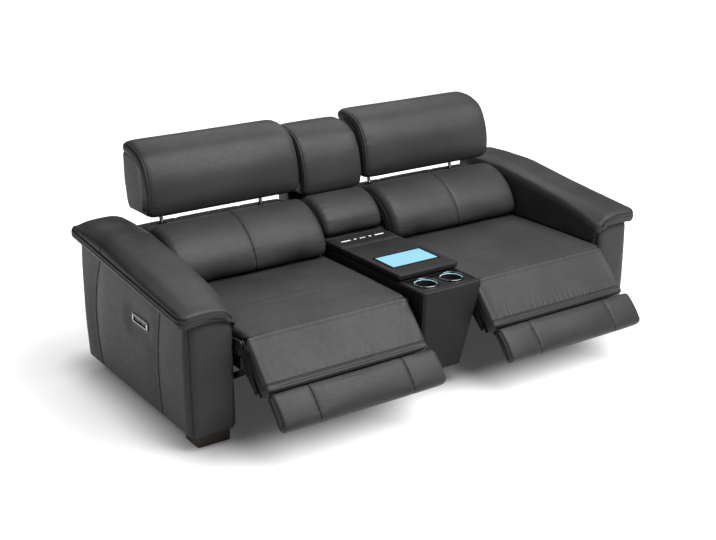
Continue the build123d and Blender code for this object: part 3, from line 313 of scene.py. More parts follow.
def roundLoop(corners, arcPitch=3.0, arcSteps=0):
    # closed outline of rounded corners: (a, b, radius, bulge of the next edge, pieces of the next edge)
    place = [np.array(corner[:2], float) for corner in corners]
    turnSign = np.sign(loopArea(np.array(place)))
    count = len(corners)
    enter, leave, arcs = [], [], []
    for k in range(count):
        before, after = unit(place[k] - place[k - 1]), unit(place[(k + 1) % count] - place[k])
        angle = math.acos(max(-1.0, min(1.0, float(before @ after))))
        radius = corners[k][2]
        cut = radius * math.tan(angle / 2)
        enter.append(place[k] - before * cut)
        leave.append(place[k] + after * cut)
        arc = [enter[-1]]
        if radius > 0 and angle > 0.01:
            centre = place[k] + unit(after - before) * radius / math.cos(angle / 2)
            steps = arcSteps or max(3, math.ceil(angle * radius / arcPitch))
            first = enter[-1] - centre
            spin = np.sign(before[0] * after[1] - before[1] * after[0])
            for step in range(1, steps + 1):
                a = spin * angle * step / steps
                arc.append(centre + np.array([first[0] * math.cos(a) - first[1] * math.sin(a),
                                              first[0] * math.sin(a) + first[1] * math.cos(a)]))
        arcs.append(arc)
    points = []
    for k in range(count):
        points += arcs[k]
        first, last = leave[k], enter[(k + 1) % count]
        run = unit(last - first)
        out = np.array([run[1], -run[0]]) * turnSign
        for share in eased(corners[k][4])[1:-1]:
            points.append(first + (last - first) * share + out * corners[k][3] * 4 * share * (1 - share))
    return np.array(points)


def splineLoop(knots, pieces):
    # closed smooth outline through knots, with this many pieces for each span
    knots = np.array(knots, float)
    count = len(knots)
    points = []
    for k in range(count):
        p0, p1, p2, p3 = (knots[(k + shift) % count] for shift in (-1, 0, 1, 2))
        d0, d1, d2 = (max(np.linalg.norm(b - a), 1e-6) ** 0.5 for a, b in ((p0, p1), (p1, p2), (p2, p3)))
        slope1 = ((p1 - p0) / d0 - (p2 - p0) / (d0 + d1) + (p2 - p1) / d1) * d1
        slope2 = ((p2 - p1) / d1 - (p3 - p1) / (d1 + d2) + (p3 - p2) / d2) * d1
        for f in np.linspace(0, 1, pieces, endpoint=False):
            points.append((2 * f**3 - 3 * f**2 + 1) * p1 + (f**3 - 2 * f**2 + f) * slope1
                          + (-2 * f**3 + 3 * f**2) * p2 + (f**3 - f**2) * slope2)
    return np.array(points)


def stationsOf(first, last, pitch, fine=(), endRound=0.0, steps=6, closest=0.15):
    # positions from first to last, closer at the rounded ends and about each fine (centre, reach, pitch)
    places = list(np.arange(first + endRound, last - endRound, pitch)) + [last - endRound]
    for k in range(steps + 1):
        e = endRound * (1 - math.cos(math.pi / 2 * k / steps))
        places += [first + e, last - e]
    for centre, reach, step in fine:
        places = [x for x in places if abs(x - centre) > reach or x in (first, last)]
        places += list(np.arange(centre - reach, centre + reach + 0.01, step))
    places = sorted(x for x in places if first <= x <= last)
    kept = [places[0]]
    for x in places[1:]:
        if x - kept[-1] > closest:
            kept.append(x)
    return np.array(kept)


def endInset(near, radius):
    # how far a rounded edge draws in at a distance from its end
    return radius - math.sqrt(max(0.0, radius**2 - (radius - near) ** 2)) if near < radius else 0.0


def mendLoop(outline, loop):
    # straightens the places where a drawn-in outline has turned over itself
    count = len(loop)
    ahead, before = np.roll(outline, -1, axis=0) - outline, np.roll(loop, -1, axis=0) - loop
    for k in np.nonzero((ahead * before).sum(axis=1) < 0)[0]:
        a, b = k, k + 1
        while b - a < count // 4:
            drawn, given = (points[b % count] - points[a % count] for points in (outline, loop))
            if np.dot(drawn, given) > 0:
                break
            a, b = a - 1, b + 1
        for j in range(a + 1, b):
            f = (j - a) / (b - a)
            outline[j % count] = outline[a % count] * (1 - f) + outline[b % count] * f
    return outline


def sweepLoop(loop, xs, anchor, drawIn, drawReach, endRound, crown):
    # rings of one (y, z) outline along x with drawn-in, rounded ends and a shallow end face
    normals = loopNormals(loop)
    anchor = np.array(anchor, float)
    around = loopLength(np.vstack([loop, loop[:1]]))[-1]
    room = 0.8 * abs(loopArea(loop)) / around
    endRound = min(endRound, room)
    first, last = xs[0], xs[-1]

    def ring(x, size, inset):
        outline = mendLoop(anchor + (loop - anchor) * size - normals * inset, loop)
        return np.column_stack([np.full(len(loop), x), outline])

    rings = []
    for x in xs:
        e = min(x - first, last - x)
        rings.append(ring(x, 1 - drawIn * math.exp(-e / drawReach), endInset(e, endRound)))
    ends = []
    for x, out in ((first, -1), (last, 1)):
        end = []
        for more, lift in ((1.0, 0.3), (3.0, 0.7), (6.0, 1.0)):
            inset = endRound + min(more, (room - endRound) * more / 8)
            end.append(ring(x + out * crown * lift, 1 - drawIn, inset))
        ends.append(end)
    return np.array(ends[0][::-1] + rings + ends[1])


def outward(points):
    # unit normals of a grid of rings, pointing away from each ring's middle
    n = np.cross(np.gradient(points, axis=0), np.roll(points, -1, axis=1) - np.roll(points, 1, axis=1))
    n /= np.maximum(np.linalg.norm(n, axis=2, keepdims=True), 1e-9)
    away = points - points.mean(axis=1, keepdims=True)
    return n * np.sign(np.sum(n * away))


def hump(distance, width):
    return np.exp(-((distance / width) ** 2))


def valley(distance, depth, width):
    return -depth * hump(distance, width)


def groove(distance, valleys):
    # a seam's narrow valley in a wide one, each as (depth, width)
    return sum(valley(distance, *shape) for shape in valleys)


def puckers(along, away, seed, look, span):
    # short folds that run out from a seam; look is their pitch, depth, reach and width
    # along the seam and away from it are arrays that broadcast
    draw = np.random.default_rng(seed)
    pitch, deepest, farthest, broad = look
    field = 0.0
    for centre in np.arange(*span, pitch):
        at = centre + draw.uniform(-0.4, 0.4) * pitch
        depth = deepest * draw.uniform(0.25, 1.0)
        reach = farthest * draw.uniform(0.45, 1.15)
        lean = draw.uniform(-0.18, 0.18)
        width = broad * draw.uniform(0.7, 1.4)
        fold = depth * hump(along - at - lean * away, width)
        field = field - fold * hump(np.maximum(away, 0), reach) * (away > -2)
    return field


def softFolds(across, along, folds):
    # long shallow creases: (across, along, half length, width, depth, slant)
    field = 0.0
    for a0, b0, half, width, depth, slant in folds:
        lane = along - b0 - slant * (across - a0)
        field = field + valley(lane, depth, width) * np.exp(-(((across - a0) / half) ** 4))
    return field


def newObject(name, data):
    made = bpy.data.objects.new(name, data)
    bpy.context.scene.collection.objects.link(made)
    return made


def inMetres(points, side):
    # from the millimetres of the right bay to the frame, mirrored where side is -1
    points = np.array(points, float).reshape(-1, 3) * mm
    points[:, 0] *= side
    points[:, 1] += armFront * mm
    return points.tolist()


def faceOutward(mesh):
    work = bmesh.new()
    work.from_mesh(mesh)
    bmesh.ops.recalc_face_normals(work, faces=work.faces)
    work.to_mesh(mesh)
    work.free()


def smoothFaces(mesh):
    mesh.polygons.foreach_set("use_smooth", [True] * len(mesh.polygons))


def makePiece(name, points, faces, finish, shade=None, side=1):
    mesh = bpy.data.meshes.new(name)
    mesh.from_pydata(inMetres(points, side), [], faces)
    if shade is not None:
        mark = mesh.attributes.new("seamShade", "FLOAT", "POINT")
        mark.data.foreach_set("value", np.asarray(shade, np.float32).ravel())
    faceOutward(mesh)
    smoothFaces(mesh)
    mesh.materials.append(finish)
    return newObject(name, mesh)


def gridFaces(rings, around):
    faces = []
    for i in range(rings - 1):
        for j in range(around):
            k = (j + 1) % around
            faces.append((i * around + j, i * around + k, (i + 1) * around + k, (i + 1) * around + j))
    faces.append(tuple(range(around)))
    faces.append(tuple((rings - 1) * around + j for j in range(around)))
    return faces


def makeGrid(name, grid, finish, shade=None, side=1):
    return makePiece(name, grid, gridFaces(*grid.shape[:2]), finish, shade, side)


def press(grid, field):
    return grid + outward(grid) * np.broadcast_to(field, grid.shape[:2])[..., None]


def tubePoints(path, radius, closed, around=8):
    # rings of a round cord along a path
    path = np.array(path, float)
    ahead = np.roll(path, -1, axis=0) - np.roll(path, 1, axis=0)
    if not closed:
        ahead[0], ahead[-1] = path[1] - path[0], path[-1] - path[-2]
    ahead /= np.maximum(np.linalg.norm(ahead, axis=1, keepdims=True), 1e-9)
    up = np.array([0.0, 0.0, 1.0]) if abs(ahead[0][2]) < 0.9 else np.array([0.0, 1.0, 0.0])
    rings = []
    for p, t in zip(path, ahead):
        a = unit(up - t * (up @ t))
        up = a
        b = np.cross(t, a)
        turn = np.linspace(0, 2 * np.pi, around, endpoint=False)[:, None]
        rings.append(p + radius * (np.cos(turn) * a + np.sin(turn) * b))
    return np.array(rings)


def makeTube(name, path, radius, finish, side=1, closed=False):
    rings = tubePoints(path, radius, closed)
    count, around = rings.shape[:2]
    faces = gridFaces(count, around)
    if closed:
        start = (count - 1) * around
        faces[-2:] = [(start + j, start + (j + 1) % around, (j + 1) % around, j) for j in range(around)]
    return makePiece(name, rings, faces, finish, None, side)


def joinPieces(name, pieces):
    # several meshes as one piece
    work = bmesh.new()
    for piece in pieces:
        work.from_mesh(piece.data)
    mesh = bpy.data.meshes.new(name)
    work.to_mesh(mesh)
    work.free()
    mesh.materials.append(pieces[0].data.materials[0])
    for piece in pieces:
        bpy.data.objects.remove(piece)
    return newObject(name, mesh)


# Stitches: a node tree sets one thread loop after another along seam lines

stitchLook = {"Pitch": 7.5, "Stitch Length": 5.2, "Thread Radius": 0.7}


def stitchTree():
    tree = bpy.data.node_groups.new("stitchRow", "GeometryNodeTree")
    kinds = {"Seams": "Geometry", **{label: "Float" for label in stitchLook}, "Thread": "Material"}
    for name, kind in kinds.items():
        tree.interface.new_socket(name=name, in_out="INPUT", socket_type="NodeSocket" + kind)
    tree.interface.new_socket(name="Stitches", in_out="OUTPUT", socket_type="NodeSocketGeometry")
    given = tree.nodes.new("NodeGroupInput").outputs
    made = tree.nodes.new("NodeGroupOutput")
    curve = wire(tree, "GeometryNodeMeshToCurve", {"Mesh": given["Seams"]})
    spaced = wire(tree, "GeometryNodeResampleCurve", {"Curve": curve.outputs[0], "Length": given["Pitch"]},
                  mode="LENGTH")
    bead = wire(tree, "GeometryNodeMeshUVSphere", {"Segments": 6, "Rings": 4, "Radius": 1.0})
    size = wire(tree, "ShaderNodeCombineXYZ", {"X": mathOf(tree, "MULTIPLY", given["Stitch Length"], 0.5),
                                               "Y": given["Thread Radius"], "Z": given["Thread Radius"]})
    loop = wire(tree, "GeometryNodeTransform", {"Geometry": bead.outputs["Mesh"], "Scale": size.outputs[0]})
    tangent = tree.nodes.new("GeometryNodeInputTangent")
    turn = wire(tree, "FunctionNodeAlignRotationToVector", {"Vector": tangent.outputs[0]}, axis="X")
    placed = wire(tree, "GeometryNodeInstanceOnPoints", {
        "Points": spaced.outputs[0], "Instance": loop.outputs[0], "Rotation": turn.outputs[0]})
    real = wire(tree, "GeometryNodeRealizeInstances", {"Geometry": placed.outputs[0]})
    painted = wire(tree, "GeometryNodeSetMaterial", {"Geometry": real.outputs[0],
                                                     "Material": given["Thread"]})
    tree.links.new(painted.outputs[0], made.inputs[0])
    return tree


stitchNodes = stitchTree()


def runNodes(name, holder, tree, values):
    # evaluates a node tree on a holder object and keeps the result as a plain mesh
    modifier = holder.modifiers.new("nodes", "NODES")
    modifier.node_group = tree
    sockets = {item.name: item.identifier for item in tree.interface.items_tree if item.in_out == "INPUT"}
    for label, value in values.items():
        modifier[sockets[label]] = value
    seen = holder.evaluated_get(bpy.context.evaluated_depsgraph_get())
    mesh = bpy.data.meshes.new_from_object(seen)
    mesh.name = name
    holder.modifiers.remove(modifier)
    bpy.data.objects.remove(holder)
    smoothFaces(mesh)
    return newObject(name, mesh)


def sewSeams(name, lines, side=1):
    # stitches along lines of (x, y, z) points
    points, edges = [], []
    for line in lines:
        start = len(points)
        points += [tuple(p) for p in line]
        edges += [(start + k, start + k + 1) for k in range(len(line) - 1)]
    mesh = bpy.data.meshes.new(name + "_line")
    mesh.from_pydata(inMetres(points, side), edges, [])
    sizes = {label: stitchLook[label] * mm for label in stitchLook}
    return runNodes(name, newObject(name + "_line", mesh), stitchNodes, {**sizes, "Thread": thread})


def attach(piece, body):
    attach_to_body(piece, body)


def coverPad(nodes):
    # the leather stands for CAD nodes and is filled with foam
    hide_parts(*nodes)


def finishPad(piece, body, nodes):
    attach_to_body(piece, body)
    coverPad(nodes)


# Seats: cushion, legrest and footrest of each bay

slope = math.radians(48)
noseRadius = 36.0
seamAngle = math.radians(36)


def slopePoint(t, n):
    # legrest coordinates, down the slope and out of it, as (y, z)
    return (hingeY - t * math.cos(slope) - n * math.sin(slope),
            hingeZ - t * math.sin(slope) + n * math.cos(slope))


def slopeLoop(corners):
    return np.array([slopePoint(*p) for p in roundLoop(corners)])


def slopeCoords(grid):
    dy, dz = hingeY - grid[..., 1], hingeZ - grid[..., 2]
    return dy * math.cos(slope) + dz * math.sin(slope), dy * math.sin(slope) - dz * math.cos(slope)


def nearEnds(grid, reach):
    x = grid[..., 0]
    return (x - x.min() < reach) | (x.max() - x < reach)


seatIn, seatOut = bayRange("right_seat_cushion")
seatTop = hingeZ + noseRadius
seatSeam = (hingeY - noseRadius * math.sin(seamAngle), hingeZ + noseRadius * math.cos(seamAngle))
legSeam = (-noseRadius * math.sin(slope - seamAngle), noseRadius * math.cos(slope - seamAngle))

seatLook = {"crown": 4.0, "rise": 10.0, "endRound": 20.0, "pitch": 7.0, "rear": 560.0, "bottom": 326.0,
            "pucker": (15.0, 0.9, 24.0, 4.5), "stitch": (7.0, 3.6),
            "folds": ((0.42, 150, 250, 7, 1.5, 0.05), (0.6, 205, 200, 9, 1.3, -0.03),
                      (0.5, 330, 240, 12, 1.1, 0.02), (0.35, 70, 150, 6, 1.0, -0.06),
                      (0.75, 110, 120, 6, 0.9, 0.08))}
legLook = {"length": 213.0, "seam": 181.0, "under": -25.0, "crown": 3.0, "rise": 5.0, "endRound": 15.0,
           "pitch": 4.0, "pucker": (19.0, 1.9, 40.0, 5.0), "upper": (16.0, 1.1, 24.0, 4.5),
           "stitch": (-4.5, 4.0)}
footLook = {"from": 220.0, "to": 362.0, "rear": 18.0, "face": 64.0, "crown": 4.0, "rise": 5.0, "round": 19.0,
            "endRound": 11.0, "pitch": 7.0, "seams": 152.0, "piping": 3.0, "groove": ((2.4, 2.6), (1.2, 9.0)),
            "pucker": (24.0, 0.9, 20.0, 6.0), "stitch": (-4.2, 4.2)}
seatSpan = (seatIn + 20, seatOut - 20)


def seatShape():
    rear, bottom = seatLook["rear"], seatLook["bottom"]
    seamY, seamZ = seatSeam
    noseY = seamY + (seatTop - seamZ) / math.tan(math.radians(30))
    loop = roundLoop([
        (rear, bottom, 8, 0, 10), (20, bottom, 8, 0, 6), (-14, hingeZ - 2, 5, 0, 4),
        (seamY + 9, seamZ - 11, 3, 0, 4), (seamY - 1.6, seamZ - 0.6, 1.5, 0, 5),
        (noseY, seatTop, 46, seatLook["crown"], 90), (rear, seatTop - 4, 16, 1, 10)])
    xs = stationsOf(seatIn, seatOut, seatLook["pitch"], endRound=seatLook["endRound"])
    grid = sweepLoop(loop, xs, ((20 + rear) / 2, bottom), 0.02, 30, seatLook["endRound"], 2)
    y, z = grid[..., 1], grid[..., 2]
    held = (z < seatTop - 26) | (y > 480) | nearEnds(grid, 5) | (np.hypot(y - seamY, z - seamZ) < 9)
    return grid, held, seatLook["rise"]


def legShape():
    length, seam, under = legLook["length"], legLook["seam"], legLook["under"]
    seamT, seamN = legSeam
    face = noseRadius + 2.5
    loop = slopeLoop([
        (seamT - 0.4, seamN + 0.4, 1.5, 0.5, 6), (10, noseRadius + 0.6, 60, legLook["crown"], 60),
        (seam, face, 0, 1.0, 26), (length, face - 1, 13, 1.5, 10), (length, under, 8, 0, 12),
        (42, under, 6, 0, 6), (40, 6, 6, 0, 5), (seamT + 7, seamN - 12, 3, 0, 4)])
    xs = stationsOf(seatIn, seatOut, legLook["pitch"], endRound=legLook["endRound"])
    grid = sweepLoop(loop, xs, slopePoint(length / 2, under), 0.03, 26, legLook["endRound"], 2)
    t, n = slopeCoords(grid)
    held = (n < 20) | (abs(t - seam) < 5) | (t < 3) | (t > length - 5) | nearEnds(grid, 4)
    return grid, held, legLook["rise"]


def footSeams():
    return seatIn + footLook["seams"], seatOut - footLook["seams"]


def holdSeams(held, grid, seams):
    for x in seams:
        held |= abs(grid[..., 0] - x) < 4


def footShape():
    first, last, rear, face, r = (footLook[key] for key in ("from", "to", "rear", "face", "round"))
    loop = slopeLoop([(first, rear, 7, 0, 8), (first, face, r, footLook["crown"], 40),
                      (last, face, r, 1.5, 8), (last, rear, 7, 0, 16)])
    fine = [(x, 14, 1.4) for x in footSeams()]
    xs = stationsOf(seatIn, seatOut, footLook["pitch"], fine, footLook["endRound"])
    grid = sweepLoop(loop, xs, slopePoint((first + last) / 2, rear), 0.035, 26, footLook["endRound"], 2)
    held = (slopeCoords(grid)[1] < rear + 20) | nearEnds(grid, 3)
    holdSeams(held, grid, footSeams())
    return grid, held, footLook["rise"]


# Backs: lumbar cushions, headrests and the middle back

lumbarLook = {"knots": ((799, 440), (600, 439), (530, 439), (501, 446), (489, 464), (489, 488), (505, 530),
                        (535, 570), (575, 603), (618, 627), (660, 639), (704, 641), (768, 619), (832, 588)),
              "rear": 790.0, "rise": 10.0, "endRound": 28.0, "drawIn": 0.03, "drawReach": 26.0,
              "anchor": (812, 500)}
middleLook = {"knots": ((812, 494), (660, 493), (592, 493), (562, 498), (550, 514), (551, 534), (566, 570),
                        (594, 600), (632, 624), (674, 637), (716, 640), (770, 624), (832, 592)),
              "rear": 800.0, "rise": 7.0, "endRound": 24.0, "drawIn": 0.03, "drawReach": 20.0,
              "anchor": (816, 530)}
headLook = {"knots": ((789, 668), (752, 660), (722, 671), (711, 704), (713, 768), (735, 842), (776, 904),
                      (842, 936), (898, 944), (936, 942), (954, 925), (951, 904), (930, 893), (890, 884),
                      (846, 872), (815, 840), (804, 780), (797, 720)),
            "rear": 800.0, "rise": 7.0, "endRound": 11.0, "drawIn": 0.05, "drawReach": 18.0, "gusset": 9.0,
            "anchor": (800, 830)}
backIn, backOut = bayRange("right_back_cushion")
middleHalf = nodeBox("middle_back_cushion")[1][0]
headDrop = nodeBox("right_headrest_pad")[1][2] - nodeBox("middle_headrest_pad")[1][2]


def rollShape(look, first, last, seams=(), drop=0.0, pieces=10):
    loop = splineLoop([(y, z - drop) for y, z in look["knots"]], pieces)
    anchor = (look["anchor"][0], look["anchor"][1] - drop)
    xs = stationsOf(first, last, 7.0, [(x, 16, 1.5) for x in seams], look["endRound"])
    grid = sweepLoop(loop, xs, anchor, look["drawIn"], look["drawReach"], look["endRound"], 3)
    held = (grid[..., 1] > look["rear"]) & (grid[..., 2] < loop[:, 1].max() - 12) | nearEnds(grid, 6)
    held |= grid[..., 2] < loop[:, 1].min() + 6
    holdSeams(held, grid, seams)
    return grid, held, look["rise"]


def gussets(first, last):
    return first + headLook["gusset"], last - headLook["gusset"]


# Padding: air pressure swells the leather between its seams, on a coarse copy of each grid

puffLook = {"pressure": 4.0, "frames": 20, "step": 5, "mass": 0.3, "tension": 12.0, "bending": 0.4,
            "quality": 5, "smooth": 10}


def swellShapes(shapes):
    scene = bpy.context.scene
    cloths = []
    for name, (grid, held, _) in shapes.items():
        rows = np.unique(np.append(np.arange(0, grid.shape[0], puffLook["step"]), grid.shape[0] - 1))
        columns = np.arange(0, grid.shape[1], puffLook["step"] - 1)
        coarse = grid[np.ix_(rows, columns)]
        mesh = bpy.data.meshes.new(name + "_cloth")
        mesh.from_pydata((coarse.reshape(-1, 3) * mm).tolist(), [], gridFaces(*coarse.shape[:2]))
        faceOutward(mesh)
        cloth = newObject(name + "_cloth", mesh)
        pins = cloth.vertex_groups.new(name="held")
        pins.add([int(k) for k in np.flatnonzero(held[np.ix_(rows, columns)].ravel())], 1.0, "REPLACE")
        settings = cloth.modifiers.new("swell", "CLOTH").settings
        settings.quality, settings.mass = puffLook["quality"], puffLook["mass"]
        settings.tension_stiffness = settings.compression_stiffness = puffLook["tension"]
        settings.shear_stiffness, settings.bending_stiffness = puffLook["tension"] / 2, puffLook["bending"]
        settings.use_pressure, settings.uniform_pressure_force = True, puffLook["pressure"]
        settings.effector_weights.gravity = 0
        settings.vertex_group_mass = "held"
        cloths.append((name, cloth, rows, columns, coarse))
    for step in range(1, puffLook["frames"] + 1):
        scene.frame_set(step)
    seen = bpy.context.evaluated_depsgraph_get()
    moved = {}
    for name, cloth, rows, columns, coarse in cloths:
        grid, _, rise = shapes[name]
        shape = cloth.evaluated_get(seen).data
        places = np.empty(len(shape.vertices) * 3)
        shape.vertices.foreach_get("co", places)
        shift = places.reshape(coarse.shape) / mm - coarse
        size = np.linalg.norm(shift, axis=2, keepdims=True)
        print("swell", name, "moved up to", round(float(size.max()), 1), "mm, kept under", rise)
        shift *= min(1.0, rise / max(float(size.max()), 1e-6))
        moved[name] = spreadShift(shift, rows, columns, grid.shape[:2])
        bpy.data.objects.remove(cloth)
    scene.frame_set(1)
    return moved


def spreadShift(shift, rows, columns, shape):
    # from the coarse grid to the full one, then smoothed
    around = np.append(columns, shape[1])
    closed = np.concatenate([shift, shift[:, :1]], axis=1)
    wide = np.stack([[np.interp(np.arange(shape[1]), around, closed[i, :, c]) for i in range(len(rows))]
                     for c in range(3)], axis=-1)
    full = np.stack([[np.interp(np.arange(shape[0]), rows, wide[:, j, c]) for j in range(shape[1])]
                     for c in range(3)], axis=-1).swapaxes(0, 1)
    for _ in range(puffLook["smooth"]):
        full = 0.5 * full + 0.25 * (np.roll(full, 1, axis=1) + np.roll(full, -1, axis=1))
        full[1:-1] = 0.5 * full[1:-1] + 0.25 * (full[2:] + full[:-2])
    return full


shapes = {"seat": seatShape(), "legrest": legShape(), "footrest": footShape(),
          "lumbar": rollShape(lumbarLook, backIn, backOut, (bayMid,)),
          "headrest": rollShape(headLook, backIn, backOut, gussets(backIn, backOut)),
          "middleLumbar": rollShape(middleLook, -middleHalf, middleHalf),
          "middleHeadrest": rollShape(headLook, -middleHalf, middleHalf, gussets(-middleHalf, middleHalf),
                                      headDrop)}
grids = {name: shape[0] for name, shape in shapes.items()}
for name, shift in swellShapes(shapes).items():
    grids[name] = grids[name] + shift
print("padding swollen")


# Sewing of the seats


def alongRow(grid, column, first, last, lift=0.2):
    # points of one column of a grid between two x places, a little above the leather
    keep = (grid[:, column, 0] > first) & (grid[:, column, 0] < last)
    return (grid[:, column] + outward(grid)[:, column] * lift)[keep]


def aroundRing(grid, x, keep, lift=0.2):
    # points of the ring nearest to x, on the columns of keep
    k = int(np.argmin(np.abs(grid[:, 0, 0] - x)))
    return (grid[k] + outward(grid)[k] * lift)[keep]


def blendOverNose(piece):
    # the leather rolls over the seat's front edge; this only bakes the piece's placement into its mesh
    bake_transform(piece)


def sewSeat(name, side, seed):
    grid = grids["seat"]
    seamY, seamZ = seatSeam
    x, y, z = np.moveaxis(grid, 2, 0)
    onTop = (z > seatTop - 12) & (y > hingeY)
    folds = [(seatIn + share * (seatOut - seatIn), *rest) for share, *rest in seatLook["folds"]]
    field = softFolds(x, y * (1 + 0.04 * side), folds) * onTop
    field = field + puckers(x, y - seamY - 2, seed, seatLook["pucker"], seatSpan) * (z > seamZ - 2)
    grid = press(grid, field)
    shade = 0.5 * hump(np.hypot(y - seamY, z - seamZ), 1.8)
    piece = makeGrid(f"{name}_seat_leather", grid, leather, shade, side)
    blendOverNose(piece)
    coverPad([f"{name}_seat_cushion"])
    middle = len(grid) // 2
    back, up = seatLook["stitch"]
    column = int(np.argmin(np.hypot(y[middle] - seamY - back, z[middle] - seamZ - up)))
    sewn = sewSeams(f"{name}_seat_stitches", [alongRow(grid, column, seatIn + 14, seatOut - 14)], side)
    blendOverNose(sewn)


def sewLegrest(name, side, seed):
    grid = grids["legrest"]
    length, seam = legLook["length"], legLook["seam"]
    t, n = slopeCoords(grid)
    front = np.clip((n - 14) / 8, 0, 1)
    x = grid[..., 0]
    field = puckers(x, seam - 3 - t, seed, legLook["pucker"], seatSpan)
    field = field + puckers(x, t - legSeam[0] - 3, seed + 40, legLook["upper"], seatSpan)
    field = field + valley(t - seam, 2.6, 3.2) + valley(t - seam - 7, 1.6, 2.6)
    field = field + 1.8 * hump(t - (seam + length) / 2 - 4, 9.0)
    grid = press(grid, field * front)
    shade = front * (hump(t - seam, 2.2) * 0.8 + 0.5 * hump(t - legSeam[0], 1.8))
    piece = makeGrid(f"{name}_legrest_leather", grid, leather, np.clip(shade, 0, 1), side)
    blendOverNose(piece)
    coverPad([f"{name}_legrest_pad"])
    middle = len(grid) // 2
    lines = []
    for offset in legLook["stitch"]:
        column = int(np.argmin(np.abs(t[middle] - seam - offset) + 1000 * (n[middle] < 18)))
        lines.append(alongRow(grid, column, seatIn + 12, seatOut - 12, 0.25))
    attach(sewSeams(f"{name}_legrest_stitches", lines, side), f"{name}_legrest")


def sewFootrest(name, side, seed):
    grid = grids["footrest"]
    rear, body = footLook["rear"], f"{name}_footrest"
    t, n = slopeCoords(grid)
    field, shade = 0.0, 0.0
    span = (footLook["from"] + 10, footLook["to"] - 4)
    for k, x in enumerate(footSeams()):
        gap = grid[..., 0] - x
        field = field + groove(gap, footLook["groove"])
        shade = shade + hump(gap, 1.8)
        for away in (gap, -gap):
            field = field + puckers(t, away, seed + 7 * k, footLook["pucker"], span) * (n > 30)
    grid = press(grid, field * np.clip((n - rear) / 12, 0, 1))
    piece = makeGrid(f"{name}_footrest_leather", grid, leather, np.clip(shade, 0, 1), side)
    finishPad(piece, body, [f"{name}_footrest_pad"])
    rims = []
    for ring, out in ((2, -0.8), (-3, 0.8)):
        rims.append(makeTube("rim", grid[ring] + (out, 0, 0), footLook["piping"], leather, side, closed=True))
    attach(joinPieces(f"{name}_footrest_piping", rims), body)
    keep = np.flatnonzero(n[len(grid) // 2] > rear + 12)
    lines = [aroundRing(grid, x + offset, keep) for x in footSeams() for offset in footLook["stitch"]]
    attach(sewSeams(f"{name}_footrest_stitches", lines, side), body)


for index, (name, side) in enumerate(sides):
    sewSeat(name, side, 21 + index)
    sewLegrest(name, side, 11 + index)
    sewFootrest(name, side, 31 + index)
print("seats sewn")


# Sewing of the backs


rollLook = {"groove": ((2.4, 2.8), (1.6, 12.0)), "pucker": (30.0, 0.8, 22.0, 6.0), "stitch": (-4.6, 4.6),
            "columnStep": 8.0, "ends": (27.0, 46.0, 7.0), "endSeam": 14.0}


def sewRoll(name, grid, seams, nodes, body, side, seed, columns, fold=1.8):
    # puckered ends, and a sewn seam with stitch rows beside it at each place of seams
    x = grid[..., 0]
    around = np.arange(grid.shape[1])[None, :] * rollLook["columnStep"]
    span = (0, around.max())
    field, shade = np.zeros(grid.shape[:2]), np.zeros(grid.shape[:2])
    pitch, reach, width = rollLook["ends"]
    for k, away in enumerate((x - x.min(), x.max() - x)):
        field += puckers(around, away - rollLook["endSeam"], seed + k, (pitch, fold, reach, width), span)
    for k, place in enumerate(seams):
        gap = x - place
        field += groove(gap, rollLook["groove"])
        shade += hump(gap, 2.0)
        for away in (gap, -gap):
            field += puckers(around, away, seed + 10 + k, rollLook["pucker"], span)
    grid = press(grid, field)
    piece = makeGrid(f"{name}_leather", grid, leather, np.clip(shade, 0, 1), side)
    finishPad(piece, body, nodes)
    if seams:
        keep = np.arange(*columns)
        lines = [aroundRing(grid, place + offset, keep) for place in seams for offset in rollLook["stitch"]]
        attach(sewSeams(f"{name}_stitches", lines, side), body)


for index, (name, side) in enumerate(sides):
    sewRoll(f"{name}_lumbar", grids["lumbar"], (bayMid,), [f"{name}_back_cushion"], f"{name}_back", side,
            51 + 3 * index, (16, 122))
    sewRoll(f"{name}_headrest", grids["headrest"], gussets(backIn, backOut), [f"{name}_headrest_pad"],
            f"{name}_headrest", side, 71 + 3 * index, (8, 112), 1.2)
sewRoll("middle_lumbar", grids["middleLumbar"], (), ["middle_back_cushion"], "base", 1, 91, (0, 1))
sewRoll("middle_headrest", grids["middleHeadrest"], gussets(-middleHalf, middleHalf), ["middle_headrest_pad"],
        "base", 1, 95, (8, 112), 1.2)


# Rear shells behind the headrests and the backs

shellLook = {"outline": ((765, 671), (912, 667), (928, 692), (944, 780), (943, 886), (934, 899), (846, 892),
                         (790, 880), (772, 836)),
             "radius": (6, 14, 14, 20, 10, 6, 8, 12, 10), "endRound": 5.0, "swell": 2.0, "seams": 150.0}
coverLook = {"slabFront": 33.0, "edge": 12.0, "wall": 14.0, "strip": 8.0, "bottom": 217.0, "top": 593.0,
             "depth": 68.0, "near": 2.0, "lap": 6.0, "hole": 17.0, "swell": 5.0, "seams": 150.0}
slabLook = {"pitch": 14.0, "groove": ((2.4, 2.8), (1.8, 11.0)), "stitch": (-5.0, 5.0),
            "ends": (0.985, 0.95, 0.88)}
lean = math.radians(15)
stems = {"spread": 235.0, "y": 858.0, "z": 610.0, "half": 15.1}


def leanY(z, behind):
    # y of a place behind the plane between the back cushion and the back frame
    return stems["y"] + (z - stems["z"]) * math.tan(lean) - stems["half"] / math.cos(lean) + behind


